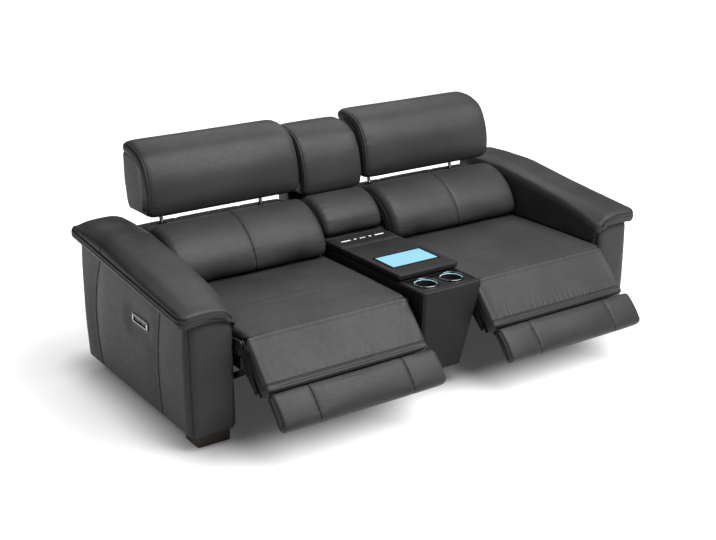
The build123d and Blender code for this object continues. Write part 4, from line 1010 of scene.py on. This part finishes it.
def slabPiece(name, first, last, corners, side=1, endRound=8.0, swell=0.0, seams=(), lines=None):
    # swept outline with rounded ends; its rear face swells and takes upright seams
    # the stitch rows of those seams are added to lines
    loop = roundLoop(corners)
    xs = stationsOf(first, last, slabLook["pitch"], [(x, 14, 2.0) for x in seams], endRound)
    grid = sweepLoop(loop, xs, loop.mean(axis=0), 0, 20, endRound, 1)
    for edge, inner in ((3, (2, 1, 0)), (-4, (-3, -2, -1))):
        middle = grid[edge, :, 1:].mean(axis=0)
        for ring, size in zip(inner, slabLook["ends"]):
            grid[ring, :, 1:] = middle + (grid[edge, :, 1:] - middle) * size
    rear = outward(grid)[..., 1] > 0.6
    if swell:
        share = np.clip((grid[..., 0] - first) / (last - first), 0, 1)
        grid = press(grid, swell * np.sin(np.pi * share) ** 0.6 * rear)
    shade = np.zeros(rear.shape)
    for x in seams:
        gap = grid[..., 0] - x
        grid = press(grid, groove(gap, slabLook["groove"]) * rear)
        shade += hump(gap, 2.2) * rear
        for offset in slabLook["stitch"]:
            ring = int(np.argmin(np.abs(grid[:, 0, 0] - x - offset)))
            line = grid[ring][rear[ring]] + np.array((0, 0.3, 0))
            lines.append(line[np.argsort(line[:, 2])])
    return makeGrid(name, grid, leather, np.clip(shade, 0, 1), side)


def seamPlaces(look):
    return bayMid - look["seams"], bayMid + look["seams"]


def leanBox(z0, z1, near, far, radius):
    return [(leanY(z0, near), z0, radius, 0, 6), (leanY(z0, far), z0, radius, 0, 30),
            (leanY(z1, far), z1, radius, 0, 6), (leanY(z1, near), z1, radius, 0, 30)]


def sewShell(name, side):
    corners = [(*place, radius, 0, 8) for place, radius in zip(shellLook["outline"], shellLook["radius"])]
    lines = []
    shell = slabPiece(f"{name}_headrest_shell_leather", backIn, backOut, corners, side, shellLook["endRound"],
                      shellLook["swell"], seamPlaces(shellLook), lines)
    attach(sewSeams(f"{name}_headrest_shell_stitches", lines, side), f"{name}_headrest")
    finishPad(shell, f"{name}_headrest", [f"{name}_headrest_shell"])


def sewCover(name, side):
    # outside back: a slab, two side walls and a top strip that leaves holes for the headrest's stems
    low, high, edge, wall, near = (coverLook[key] for key in ("bottom", "top", "edge", "wall", "near"))
    inner = coverLook["slabFront"] + coverLook["lap"]
    lines = []
    slab = leanBox(low, high, coverLook["slabFront"], coverLook["depth"], edge)
    walls = [slabPiece("slab", backIn, backOut, slab, side, edge, coverLook["swell"], seamPlaces(coverLook),
                       lines)]
    attach(sewSeams(f"{name}_back_cover_stitches", lines, side), f"{name}_back")
    for x0, x1 in ((backIn, backIn + wall), (backOut - wall, backOut)):
        walls.append(slabPiece("wall", x0, x1, leanBox(low, high, near, inner, 4), side, 4))
    holes = [bayMid - stems["spread"], bayMid + stems["spread"]]
    rims = [x + step * coverLook["hole"] for x in holes for step in (-1, 1)]
    spans = [backIn + wall, *rims, backOut - wall]
    strip = leanBox(high - coverLook["strip"], high, near, inner, 3)
    for x0, x1 in zip(spans[::2], spans[1::2]):
        walls.append(slabPiece("strip", x0, x1, strip, side, 3))
    finishPad(joinPieces(f"{name}_back_cover_leather", walls), f"{name}_back", [f"{name}_back_cover"])


for name, side in sides:
    sewShell(name, side)
    sewCover(name, side)

deckRear = nodeBox("console_body")[1][1] - armFront
raised = nodeBox("middle_back_shell")[0][2]
corners = [(leanY(raised, 2), raised + 0.3, 4, 0, 8), (deckRear, raised + 0.3, 10, 0, 12),
           (938, 640, 20, 0, 8), (943, 752, 14, 0, 8), (942, 848, 12, 0, 4), (931, 860, 6, 0, 8),
           (850, 844, 8, 0, 6), (811, 829, 10, 0, 4), (800, 806, 8, 0, 10), (790, 641, 6, 0, 6),
           (leanY(640, 2), 641, 4, 0, 12)]
shell = slabPiece("middle_back_shell_leather", -middleHalf + 2, middleHalf - 2, corners, 1, 4)
finishPad(shell, "base", ["middle_back_shell"])
print("backs sewn")


# Arms: padded outer shell and the long pad on top

armIn, armOut = bayRange("right_arm_cover")
armLow, armHigh = nodeBox("right_arm_cover")
armWide, armDepth, armBottom = armOut - armIn, armHigh[1] - armLow[1], armLow[2]
armBase = {"inner": 452.0, "outer": 492.0, "rise": 82.0}
switchLow, switchHigh = nodeBox("right_legrest_rocker")
switchAt = {"y": 388.0, "z": (switchLow[2] + switchHigh[2]) / 2, "length": 140.0, "height": 40.0,
            "sink": 23.0, "window": (59.0, 12.0), "trim": 1.7}
padLook = {"over": 35.0, "lap": 7.0, "band": 42.0, "skirt": 426.0, "piping": 1.9, "cross": 643.0,
           "level": 497.0, "stitch": (9.0, 22.0), "cords": (42.0, 26.0), "knotSteps": 8,
           "front": (32.0, 24.0, 36.0), "rear": (26.0, 20.0, 44.0),
           "pucker": (26.0, 1.0, 26.0, 6.0), "crossGroove": ((2.2, 2.8), (1.2, 12.0)),
           "folds": ((150, 250, 80, 10, 1.0, 0.1), (120, 480, 70, 12, 1.2, -0.15),
                     (140, 760, 80, 12, 1.2, 0.12)),
           "stations": ((-14, 533, 551, 512), (20, 537, 558, 521), (80, 544, 568, 540),
                        (200, 558, 588, 569), (400, 582, 614, 601), (650, 616, 648, 630),
                        (820, 618, 651, 632), (910, 614, 648, 629), (952, 608, 640, 621))}
padOuter, padInner = armWide + padLook["over"], -padLook["lap"]
shellArm = {"corner": 34.0, "tuck": 16.0, "swell": 9.0, "front": 8.5, "groove": 3.6, "piping": 1.9,
            "seams": (((72, 239), (262, 249), (378, 241), (461, 216)),
                      ((72, 785), (256, 814), (373, 808), (521, 740))),
            "cornerGroove": ((4.2, 4.0), (1.5, 12.0)), "stitch": (-5.0, 5.0), "arcs": (8, 14, 8, 6),
            "acrossSteps": 21, "pucker": (34.0, 1.5, 30.0, 9.0), "cornerPucker": (30.0, 1.6, 22.0, 7.0),
            "topPucker": (20.0, 1.6, 38.0, 5.0)}


def smoothStep(value, low, high):
    share = np.clip((value - low) / (high - low), 0, 1)
    return share * share * (3 - 2 * share)


def armTop(u, y):
    # height of the plane between the arm's shell and its pad; u is counted from the arm's inner side
    across = (armBase["outer"] - armBase["inner"]) * u / armWide
    return armBase["inner"] + across + armBase["rise"] * y / armDepth


def openSpline(knots, pieces):
    knots = np.array(knots, float)
    points = []
    for k in range(len(knots) - 1):
        p0, p1, p2 = knots[max(k - 1, 0)], knots[k], knots[k + 1]
        p3 = knots[min(k + 2, len(knots) - 1)]
        for f in np.linspace(0, 1, pieces, endpoint=False):
            points.append(0.5 * (2 * p1 + (p2 - p0) * f + (2 * p0 - 5 * p1 + 4 * p2 - p3) * f**2
                                 + (3 * p1 - p0 - 3 * p2 + p3) * f**3))
    return points


def padBottom(u, y):
    # underside of the pad, drawn level across its front end
    level = padLook["level"] - np.where(u < 105, 22.0, 5.0) * ((u - 105) / 120) ** 2
    lift = np.maximum(level - armTop(u, 0), 0)
    return armTop(u, y) + 0.8 + lift * (1 - smoothStep(y, 30, 130))


def padSection(y, zOut, zCrest, zIn):
    # outline of the pad across the arm at y, its lowest outer place and the height of its band
    edge, inner = padOuter, padInner
    low, lowIn = armTop(edge - 8, y) - 5, float(padBottom(inner, y))
    shoulder = zOut + 16
    band = min(padLook["band"], shoulder - low - 5)
    skirtShare = smoothStep(y, -4, 44) * (1 - smoothStep(y, 880, 925))
    skirt = lowIn - 2 - skirtShare * (lowIn - 2 - padLook["skirt"])
    knots = [(edge - 27, low), (edge - 15, low + 1.2), (edge - 5, low + 8), (edge - 0.8, low + 19),
             (edge - 0.8, low + band * 0.75), (edge - 4, low + band),
             (edge - 11, (low + band + shoulder) / 2 + 3), (edge - 27, shoulder),
             (160, shoulder * 0.42 + zCrest * 0.58 + 3), (95, zCrest), (48, zCrest * 0.6 + zIn * 0.4 + 5),
             (inner + 19, zIn + 4), (inner + 6, zIn - 8), (inner, zIn - 28)]
    points = openSpline(knots, padLook["knotSteps"])
    points += [(inner + 0.3 * f, zIn - 28 + (skirt - zIn + 28) * f) for f in np.linspace(0, 1, 16)]
    points += [(inner + 3, skirt - 1.5), (inner + 6, skirt + 0.5), (inner + 6.4, (skirt + lowIn) / 2),
               (inner + 6.8, lowIn)]
    points += [(u, padBottom(u, y)) for u in np.linspace(inner + 12, edge - 36, 18)]
    points += [(edge - 33, (padBottom(edge - 36, y) + low) / 2), (edge - 30, low - 0.2)]
    return np.array(points, float), low, band


def roundEnd(outline, y, near, rounds):
    # draws one section of the pad in towards its rounded end
    outerEdge, innerEdge = padOuter - endInset(near, rounds[0]), padInner + endInset(near, rounds[1])
    u, z = outline.T
    base = padBottom(np.clip(u, padInner, padOuter - 36), y)
    share = 1 - min(near / rounds[2], 1)
    high = np.maximum(z - base - padLook["band"] - 2, 0)
    z = z - high * (1 - math.sqrt(1 - share**2))
    z = z + endInset(near, 11.0) * np.clip(1 - (z - base) / 20, 0, 1)
    return np.column_stack([innerEdge + (u - padInner) * (outerEdge - innerEdge) / (padOuter - padInner), z])


def capEnds(grid):
    # closes both ends of the pad with three shrinking rings
    capped = [grid]
    for end, out in ((0, -1), (-1, 1)):
        centre = grid[end].mean(axis=0)
        inner = [centre + (grid[end] - centre) * size + np.array((0, out * push, 0))
                 for size, push in ((0.985, 0.8), (0.94, 1.9), (0.8, 2.8))]
        capped = [inner[::-1], *capped] if end == 0 else [*capped, inner]
    return np.concatenate(capped)


def buildArmPad(name, side, seed):
    table = np.array(padLook["stations"], float)
    first, last = table[0, 0], table[-1, 0]
    ys = stationsOf(first, last, 8.0, [(padLook["cross"], 14, 1.6)], padLook["front"][2], 12)
    rings, lows, bands = [], [], []
    for y in ys:
        outline, low, band = padSection(y, *(np.interp(y, table[:, 0], table[:, c]) for c in (1, 2, 3)))
        near, rounds = (y - first, padLook["front"]) if y < 400 else (last - y, padLook["rear"])
        flat = roundEnd(outline, y, near, rounds)
        rings.append(np.column_stack([armIn + flat[:, 0], np.full(len(flat), y), flat[:, 1]]))
        lows.append(low)
        bands.append(band)
    grid = np.array(rings)
    bandColumn, outerEnd, topEnd, innerEnd = (padLook["knotSteps"] * knot for knot in (5, 7, 11, 13))
    u, y = grid[..., 0] - armIn, grid[..., 1]
    columns = np.arange(grid.shape[1])[None, :]
    outer = columns < outerEnd
    rowGap = grid[..., 2] - grid[:, bandColumn:bandColumn + 1, 2]
    field = (valley(rowGap, 3.4, 3.0) + valley(rowGap + 16, 2.4, 2.6)) * outer
    field = field + puckers(y, np.abs(rowGap), seed, padLook["pucker"], (0.0, last)) * outer
    onTop = (columns > bandColumn) & (columns < topEnd)
    crossGap = y - padLook["cross"] - 0.12 * (u - 120)
    field = field + groove(crossGap, padLook["crossGroove"]) * onTop * smoothStep(u, 70, 110)
    field = field + softFolds(u, y, padLook["folds"]) * onTop
    inside = smoothStep(y, first + 3, first + 14) * smoothStep(-y, -last + 3, -last + 14)
    grid = press(grid, field * inside)
    shade = (hump(rowGap, 2.6) + 0.7 * hump(rowGap + 16, 2.2)) * outer * inside
    plain = np.zeros((3, shade.shape[1]))
    shade = np.concatenate([plain, shade, plain])
    piece = makeGrid(f"{name}_arm_pad_leather", capEnds(grid), leather, shade, side)
    finishPad(piece, "base", [f"{name}_arm_pad"])
    # stitch rows along the band and round the front end, and piping over it, darker than the leather as painted
    # shade of the band's grooves
    normals = outward(grid)
    tops = grid[0, bandColumn:innerEnd]
    across = np.linspace(tops[0, 0] - armIn - 2, tops[-1, 0] - armIn + 4, 44)
    highest = np.interp(across[::-1], tops[::-1, 0] - armIn, tops[::-1, 2])[::-1] - 0.5

    def frontRow(height, out):
        line = np.minimum(padBottom(across, first) + height + 2, highest)
        return [(armIn + w, first - out, z) for w, z in zip(across, line)]

    def sideRow(height, out, span):
        line = []
        for k in range(len(grid))[::-1]:
            if ys[k] < last - span:
                rise = grid[k, 16:bandColumn + 6, 2] - lows[k] - height * bands[k] / padLook["band"]
                column = int(np.argmin(np.abs(rise))) + 16
                line.append(grid[k, column] + normals[k, column] * out)
        return line

    rows = [row for height in padLook["stitch"] for row in (sideRow(height, 0.25, 20), frontRow(height, 2.6))]
    attach(sewSeams(f"{name}_arm_pad_stitches", rows, side), "base")
    cords = []
    for height, out in zip(padLook["cords"], (0.4, 2.2)):
        path = sideRow(height, 0.3, 24) + frontRow(height, out)[1:]
        cords.append(makeTube("cord", path, padLook["piping"], pipingShadeLeather, side))
    attach(joinPieces(f"{name}_arm_piping", cords), "base")


def armOutline():
    # plan of the arm's shell; the outer side has closer columns at its seams and the switch
    r = shellArm["corner"]
    refs = [float(np.mean([place[1] for place in seam])) for seam in shellArm["seams"]]
    sideYs = stationsOf(r, armDepth - r, 10.0, [(refs[0], 18, 2), (refs[1], 18, 2), (switchAt["y"], 82, 2.7)])
    points = []

    def arc(cx, cy, start, count):
        for k in range(count + 1):
            a = math.radians(start + 90 * k / count)
            points.append((cx + r * math.cos(a), cy + r * math.sin(a)))

    arcs = shellArm["arcs"]
    arc(armIn + r, r, 180, arcs[0])
    points.extend((x, 0.0) for x in np.linspace(armIn + r, armOut - r, shellArm["acrossSteps"] + 1)[1:-1])
    arc(armOut - r, r, 270, arcs[1])
    points.extend((armOut, y) for y in sideYs[1:-1])
    arc(armOut - r, armDepth - r, 0, arcs[2])
    points.extend((x, armDepth) for x in np.linspace(armOut - r, armIn + r, 16)[1:-1])
    arc(armIn + r, armDepth - r, 90, arcs[3])
    points.extend((armIn, y) for y in np.linspace(armDepth - r, r, 40)[1:-1])
    return np.array(points), refs


def buildArmShell(name, side, seed):
    outline, refs = armOutline()
    nominal = armTop(armWide, switchAt["y"]) - armBottom
    rows = stationsOf(0, nominal, 11.0, [(switchAt["z"] - armBottom, 36, 2.6)], shellArm["tuck"]) / nominal
    curves = [np.poly1d(np.polyfit(*np.array(seam, float).T, 2)) for seam in shellArm["seams"]]
    top = padBottom(outline[:, 0] - armIn, outline[:, 1]) + 3
    outer = outline[:, 0] > armOut - 0.01
    rings = []
    for f in rows:
        z = armBottom + (top - 0.3 - armBottom) * f
        plan = outline.copy()
        for curve, ref in zip(curves, refs):
            plan[:, 1] += outer * hump(outline[:, 1] - ref, 110) * (curve(z) - ref)
        plan = plan - loopNormals(outline) * endInset(f * nominal, shellArm["tuck"])
        rings.append(np.column_stack([plan, z]))
    grid = np.array(rings)
    normals = outward(grid)
    x, y, z = np.moveaxis(grid, 2, 0)
    level = np.sin(np.pi * np.clip(rows, 0.001, 0.999))[:, None] ** 0.6
    sideFace, frontFace = np.clip(normals[..., 0], 0, 1) ** 2, np.clip(-normals[..., 1], 0, 1) ** 2
    # the side swells between its seams and clear of the switch, the front between its corners
    gaps = [y - curve(z) for curve in curves]
    flatness = np.clip(1 - sum(hump(gap, 60) for gap in gaps), 0, 1)
    half = switchAt["height"] / 2
    run = np.maximum(np.abs(y - switchAt["y"]) - switchAt["length"] / 2 + half, 0)
    clear = np.hypot(run, z - switchAt["z"]) - half
    field = shellArm["swell"] * level * flatness * sideFace * smoothStep(clear, 0, 80)
    rise = (np.sin(np.pi * np.clip(rows, 0, 0.5)) * (1 - 0.8 * smoothStep(rows, 0.92, 1) ** 2))[:, None]
    across = np.clip((x - armIn) / armWide * 2 - 1, -1, 1)
    field = field + shellArm["front"] * rise * frontFace * (1 - across**4)
    shade = np.zeros(grid.shape[:2])
    for k, gap in enumerate(gaps):
        field = field + valley(gap, shellArm["groove"], 3.0) * sideFace
        shade += hump(gap, 2.0) * sideFace
        for away in (gap, -gap):
            field = field + puckers(z, away, seed + k, shellArm["pucker"], (90, 520)) * sideFace
    # seams down the two front corners, at the middle of each arc
    turn = np.arange(len(outline))[None, :]
    innerArc, outerArc = shellArm["arcs"][:2]
    outerColumn = innerArc + shellArm["acrossSteps"] + outerArc // 2
    for column, steps in ((innerArc // 2, innerArc), (outerColumn, outerArc)):
        step = np.abs(turn - column) * shellArm["corner"] * np.pi / 2 / steps
        field = field + groove(step, shellArm["cornerGroove"])
        shade += hump(step, 3.4)
        folds = puckers(z, step - 2, seed + 20 + column, shellArm["cornerPucker"], (70, 500))
        field = field + folds * (step < 70)
    folds = puckers(x, top[None, :] - z, seed + 5, shellArm["topPucker"], (armIn + 10, armOut - 10))
    field = field + folds * frontFace
    field = field - switchAt["sink"] * (1 - smoothStep(clear, -9, -1)) * sideFace
    grid = press(grid, field)
    piece = makeGrid(f"{name}_arm_shell_leather", grid, leather, np.clip(shade, 0, 1), side)
    finishPad(piece, "base", [f"{name}_arm_cover"])
    normals = outward(grid)
    sewn = (0.05 < rows) & (rows < 0.97)
    lines = []
    for ref in refs:
        for offset in shellArm["stitch"]:
            column = int(np.argmin(np.abs(outline[:, 1] - ref - offset) + 1e4 * ~outer))
            lines.append((grid[:, column] + normals[:, column] * 0.25)[sewn])
    # the corner seam's cord is dark piping: painted shade of the seam's groove
    path = (grid[:, outerColumn] + normals[:, outerColumn] * 0.4)[2:-1]
    cord = makeTube(f"{name}_arm_corner_piping", path, shellArm["piping"], pipingShadeLeather, side)
    attach(cord, "base")
    attach(sewSeams(f"{name}_arm_stitches", lines, side), "base")


for index, (name, side) in enumerate(sides):
    buildArmPad(name, side, 111 + index)
    buildArmShell(name, side, 121 + index)
print("arms sewn")


# Console: upholstered body with wells for the tray and the bin, lid and deck

consoleLook = {"half": 150.0, "topHalf": 148.0, "front": -130.0, "baseHalf": 108.0, "baseFront": -60.0,
               "baseZ": 100.0, "top": 458.0, "bottom": 57.0, "rear": 935.0, "corner": 22.0, "edge": 15.0,
               "swell": 5.0, "step": 546.5, "raised": 490.0, "piping": 2.2, "tuck": 6.0,
               "binHalf": 123.0, "binFrom": 63.0, "binTo": 405.0}
cupLook = {"spread": (-63.0, 63.0), "y": -32.0, "well": 47.6, "glow": 44.2, "glowRadius": 1.2,
           "glowDrop": 7.0}
lidLook = {"edge": 9.0, "corner": 16.0, "deckCorner": 11.0}


def cutWells(piece, boxes, tubes):
    # takes boxes (low, high) and upright round wells (x, y, radius, z0, z1) out of a piece
    work = bmesh.new()
    for low, high in boxes:
        made = bmesh.ops.create_cube(work, size=1.0)["verts"]
        for v in made:
            v.co = Vector([(low[c] + (high[c] - low[c]) * (v.co[c] + 0.5)) * mm for c in range(3)])
    for x, y, radius, z0, z1 in tubes:
        made = bmesh.ops.create_cone(work, cap_ends=True, segments=64, radius1=radius * mm,
                                     radius2=radius * mm, depth=(z1 - z0) * mm)["verts"]
        for v in made:
            v.co += Vector((x, y, (z0 + z1) / 2)) * mm
    for v in work.verts:
        v.co.y += armFront * mm
    mesh = bpy.data.meshes.new("wells")
    work.to_mesh(mesh)
    work.free()
    cutter = newObject("wells", mesh)
    modifier = piece.modifiers.new("wells", "BOOLEAN")
    modifier.object, modifier.operation, modifier.solver = cutter, "DIFFERENCE", "EXACT"
    modifier.use_self = True
    cut = bpy.data.meshes.new_from_object(piece.evaluated_get(bpy.context.evaluated_depsgraph_get()))
    piece.modifiers.remove(modifier)
    piece.data = cut
    bpy.data.objects.remove(cutter)
    smoothFaces(cut)
    cut.set_sharp_from_angle(angle=math.radians(35))


def consoleNose(z):
    # half width and front of the console's sloping nose at a height
    look = consoleLook
    share = max(0.0, (z - look["baseZ"]) / (look["top"] - look["baseZ"]))
    return (look["baseHalf"] + (look["topHalf"] - look["baseHalf"]) * share,
            look["baseFront"] + (look["front"] - look["baseFront"]) * share)


def consoleWells():
    # boxes for the cup tray and the bin, and round wells for the cups
    above = consoleLook["top"] + 30
    trayLow, trayHigh = nodeBox("cup_tray")
    tray = ((trayLow[0] - 0.6, trayLow[1] - armFront - 0.6, trayLow[2] - 0.3),
            (trayHigh[0] + 0.6, trayHigh[1] - armFront + 0.6, above))
    half, binFloor = consoleLook["binHalf"], nodeBox("console_bin")[0][2]
    store = ((-half, consoleLook["binFrom"], binFloor - 0.6), (half, consoleLook["binTo"], above))
    cupSpan = nodeBox("cup_liners")[0][2] - 1, consoleLook["top"] - 4
    cups = [(x, cupLook["y"], cupLook["well"], *cupSpan) for x in cupLook["spread"]]
    return [tray, store], cups


def buildConsole():
    look = consoleLook
    zs = stationsOf(look["bottom"], look["top"], 12.0, endRound=look["edge"])
    grid = []
    for z in zs:
        e = endInset(min(z - look["bottom"], look["top"] - z), look["edge"])
        half, front = consoleNose(z)
        half, front = half - e, front + e
        wide, step, r = look["half"] - e, look["step"], look["corner"] - e
        plan = roundLoop([
            (-half, front, r, 0, 30), (half, front, r, 0, 24), (half, 16 + e / 3, 4, 0, 4),
            (wide, 46 + e / 3, 4, 0, 30), (wide, step, 2, 0, 6), (-wide, step, 2, 0, 30),
            (-wide, 46 + e / 3, 4, 0, 4), (-half, 16 + e / 3, 4, 0, 24)], arcSteps=6)
        height = np.where(plan[:, 1] < 30, max(z, look["baseZ"] - 20 + 20 * (z - look["bottom"]) / 43), z)
        grid.append(np.column_stack([plan, height]))
    grid = np.array(grid)
    normals = outward(grid)
    share = np.clip((zs - look["bottom"]) / (look["top"] - look["bottom"]), 0, 1)
    upright = np.sin(np.pi * share)[:, None] ** 0.7
    across = np.cos(np.pi / 2 * np.clip(grid[..., 0] / look["half"], -1, 1))
    facing = np.clip(-normals[..., 1], 0, 1) ** 2
    grid = press(grid, look["swell"] * upright * across * facing)
    body = makeGrid("console_body_leather", grid, consoleLeather)
    cutWells(body, *consoleWells())
    near, far, low, high = look["step"] + 0.5, look["rear"], look["bottom"], look["raised"]
    corners = [(near, low, 6, 0, 20), (far, low, 12, 0, 20), (far, high, 10, 0, 20), (near, high, 4, 0, 20)]
    rear = slabPiece("rear", -look["half"], look["half"], corners, 1, 4)
    rear.data.materials[0] = consoleLeather
    finishPad(joinPieces("console_leather_body", [body, rear]), "base", ["console_body"])
    # piping down both front edges
    cords = []
    for x in (-1, 1):
        path = []
        for z in np.linspace(look["baseZ"] + 6, look["top"] - 16, 40):
            half, front = consoleNose(z)
            path.append((x * (half - look["tuck"]), front + look["tuck"], z))
        cords.append(makeTube("cord", path, look["piping"], pipingShadeLeather))
    attach(joinPieces("console_piping", cords), "base")


def slabTop(name, node, body, frontCorner):
    # upholstered slab with soft edges over a CAD slab
    low, high = nodeBox(node)
    r = lidLook["edge"]

    def plan(inset):
        x0, y0 = low[0] + inset, low[1] - armFront + inset
        x1, y1 = high[0] - inset, high[1] - armFront - inset
        near, far = max(frontCorner - inset, 1.5), max(r + 2 - inset, 1.5)
        corners = [(x0, y0, near, 0, 30), (x1, y0, near, 0, 30), (x1, y1, far, 0, 30), (x0, y1, far, 0, 30)]
        return roundLoop(corners, arcSteps=6)

    def ring(inset, z):
        loop = plan(inset)
        return np.column_stack([loop, np.full(len(loop), z)])

    heights = stationsOf(low[2], high[2], 6.0, endRound=r)
    rings = [ring(endInset(min(z - low[2], high[2] - z), r), z) for z in heights]
    rings += [ring(r + more, high[2]) for more in (2.0, 6.0, 40.0)]
    piece = makeGrid(name, np.array(rings), consoleLeather)
    finishPad(piece, body, [node])
    inner = plan(r + 3)
    line = [(x, y, high[2] + 0.25) for x, y in np.vstack([inner, inner[:1]])]
    attach(sewSeams(name + "_stitches", [line]), body)


markLook = {"from": 489.0, "to": 497.0, "under": 0.8, "over": 0.3, "round": 0.3,
            "places": ((-86, 44), (-38, 10), (-10, 5), (0, 5), (10, 5), (38, 10), (86, 44))}


def portMarks():
    # a row of plain bars on the port strip
    top = nodeBox("port_strip")[1][2]
    low, high, r = top - markLook["under"], top + markLook["over"], markLook["round"]
    near, far = markLook["from"], markLook["to"]
    corners = [(near, low, r, 0, 2), (far, low, r, 0, 2), (far, high, r, 0, 2), (near, high, r, 0, 2)]
    marks = []
    for x, long in markLook["places"]:
        mark = slabPiece("mark", x - long / 2, x + long / 2, corners, 1, r)
        mark.data.materials[0] = whiteMark
        marks.append(mark)
    attach(joinPieces("port_marks", marks), "base")


def cupGlow():
    # a thin lit ring in each cup, below its rim
    z = nodeBox("cup_rings")[1][2] - cupLook["glowDrop"]
    turn = np.linspace(0, 2 * np.pi, 64, endpoint=False)
    r = cupLook["glow"]
    glows = []
    for x in cupLook["spread"]:
        path = [(x + r * math.cos(a), cupLook["y"] + r * math.sin(a), z) for a in turn]
        glows.append(makeTube("glow", path, cupLook["glowRadius"], ringGlow, closed=True))
    attach(joinPieces("cup_glow_rings", glows), "base")


buildConsole()
slabTop("console_lid_leather", "console_lid", "lid", lidLook["corner"])
slabTop("console_deck_leather", "console_deck", "base", lidLook["deckCorner"])
portMarks()
cupGlow()
print("console made")


# Switch trim: a bright line about each window


def switchTrim(name, side):
    wide, tall = switchAt["window"]
    near, far = switchAt["y"] - wide, switchAt["y"] + wide
    low, high = switchAt["z"] - tall, switchAt["z"] + tall
    corners = [(near, low, 5, 0, 12), (far, low, 5, 0, 4), (far, high, 5, 0, 12), (near, high, 5, 0, 4)]
    path = [(armOut + 2.8, y, z) for y, z in roundLoop(corners)]
    trim = makeTube(f"{name}_switch_trim", path, switchAt["trim"], chrome, side, closed=True)
    attach(trim, "base")


for name, side in sides:
    switchTrim(name, side)


# Finishes of the rigid pieces

finishOf = {"feet": footWood, "rear_beams": darkWood, "seat_frames": darkWood, "lid_screen": screenGlass,
            "switch_plates": blackGloss, "cup_tray": blackGloss, "cup_liners": blackPlastic,
            "lid_hinge": darkSteel, "cup_rings": smokedChrome}
for name, side in sides:
    finishOf[f"{name}_footrest_board"] = darkWood
    for job in ("legrest", "recline"):
        finishOf[f"{name}_{job}_rocker"] = greyButton
slotFinish = {"leather": leather, "frame_wood": frameWood, "foot_wood": footWood, "dark_steel": darkSteel,
              "spring_steel": bareSteel, "chrome": chrome, "black_plastic": blackPlastic,
              "screen": screenGlass}
for part in frame["record"]["subparts"]:
    shape = frame["nodes"][part["node"]]
    finish = finishOf.get(part["node"], slotFinish[part["material_slot"]])
    shape.data.materials.clear()
    shape.data.materials.append(finish)
print("rigid pieces finished")


# Floor, light and camera

floorLook = {"size": 60.0, "dark": (0.56, 0.56, 0.56), "light": (0.58, 0.58, 0.58), "half": (1.0, 0.45, 0.0),
             "middle": (0.0, 0.15, 0.0), "near": (0.0, 0.26, 0.05, 0.62), "far": (0.3, 1.2, 0.0, 0.38)}
bpy.ops.mesh.primitive_plane_add(size=floorLook["size"])
floor = bpy.context.object
floor.name = "floor"
floorFinish, floorTree, floorShader = newFinish("pale_floor")
floorPlace = objectPlace(floorTree)
dust = noise(floorTree, floorPlace, 2.0).outputs["Fac"]
# the floor turns to plain white away from the sofa
away = vectorOf(floorTree, "SUBTRACT", floorPlace, floorLook["middle"])
away = vectorOf(floorTree, "SUBTRACT", vectorOf(floorTree, "ABSOLUTE", away), floorLook["half"])
away = vectorOf(floorTree, "MAXIMUM", away)
away = wire(floorTree, "ShaderNodeVectorMath", {0: away}, operation="LENGTH").outputs["Value"]
fades = []
for low, high, dim, bright in (floorLook["near"], floorLook["far"]):
    fades.append(mapRange(floorTree, away, dim, bright, low, high, interpolation_type="SMOOTHSTEP"))
rays = wire(floorTree, "ShaderNodeLightPath").outputs
seen = mathOf(floorTree, "ADD", rays["Is Camera Ray"],
              mathOf(floorTree, "ADD", rays["Is Glossy Ray"], rays["Is Transmission Ray"]))
white = mathOf(floorTree, "MULTIPLY", mathOf(floorTree, "ADD", *fades), seen)
tone = blendTones(floorTree, dust, floorLook["dark"], floorLook["light"])
feed(floorTree, floorShader, {"Base Color": tone, "Roughness": 0.9, "Specular IOR Level": 0.1,
                              "Emission Color": (1, 1, 1, 1), "Emission Strength": white})
floor.data.materials.append(floorFinish)

world = bpy.data.worlds.new("studio")
bpy.context.scene.world = world
world.use_nodes = True
feed(world.node_tree, world.node_tree.nodes["Background"], {"Color": (1, 1, 1, 1), "Strength": 0.1})


def addLamp(name, place, target, size, power):
    lamp = bpy.data.lights.new(name, "AREA")
    lamp.shape, lamp.size, lamp.size_y = "RECTANGLE", size[0], size[1]
    lamp.energy = power
    holder = newObject(name, lamp)
    holder.location = place
    holder.rotation_euler = (Vector(target) - Vector(place)).to_track_quat("-Z", "Y").to_euler()


addLamp("front_softbox", (1.5, -2.3, 4.8), (0, 0, 0.4), (4.6, 4.6), 530)
addLamp("rear_softbox", (1.2, 2.4, 3.2), (0, 0, 0.5), (3.0, 1.6), 36)
addLamp("left_softbox", (-3.6, -0.6, 3.8), (-0.8, 0, 0.7), (1.8, 1.4), 22)

viewLook = {"place": (-2.8215, -3.9057, 2.1480), "yaw": 34.653, "pitch": 20.097, "lens": 61.73,
            "sensor": 36.0, "shift": (-0.00524, 0.00194)}
eye = bpy.data.cameras.new("photo_view")
eye.lens, eye.sensor_width = viewLook["lens"], viewLook["sensor"]
eye.shift_x, eye.shift_y = viewLook["shift"]
camera = newObject("photo_view", eye)
camera.location = viewLook["place"]
camera.rotation_euler = (math.radians(90 - viewLook["pitch"]), 0, -math.radians(viewLook["yaw"]))
bpy.context.scene.camera = camera
bpy.context.scene.view_settings.view_transform = "Standard"

print("stage set")
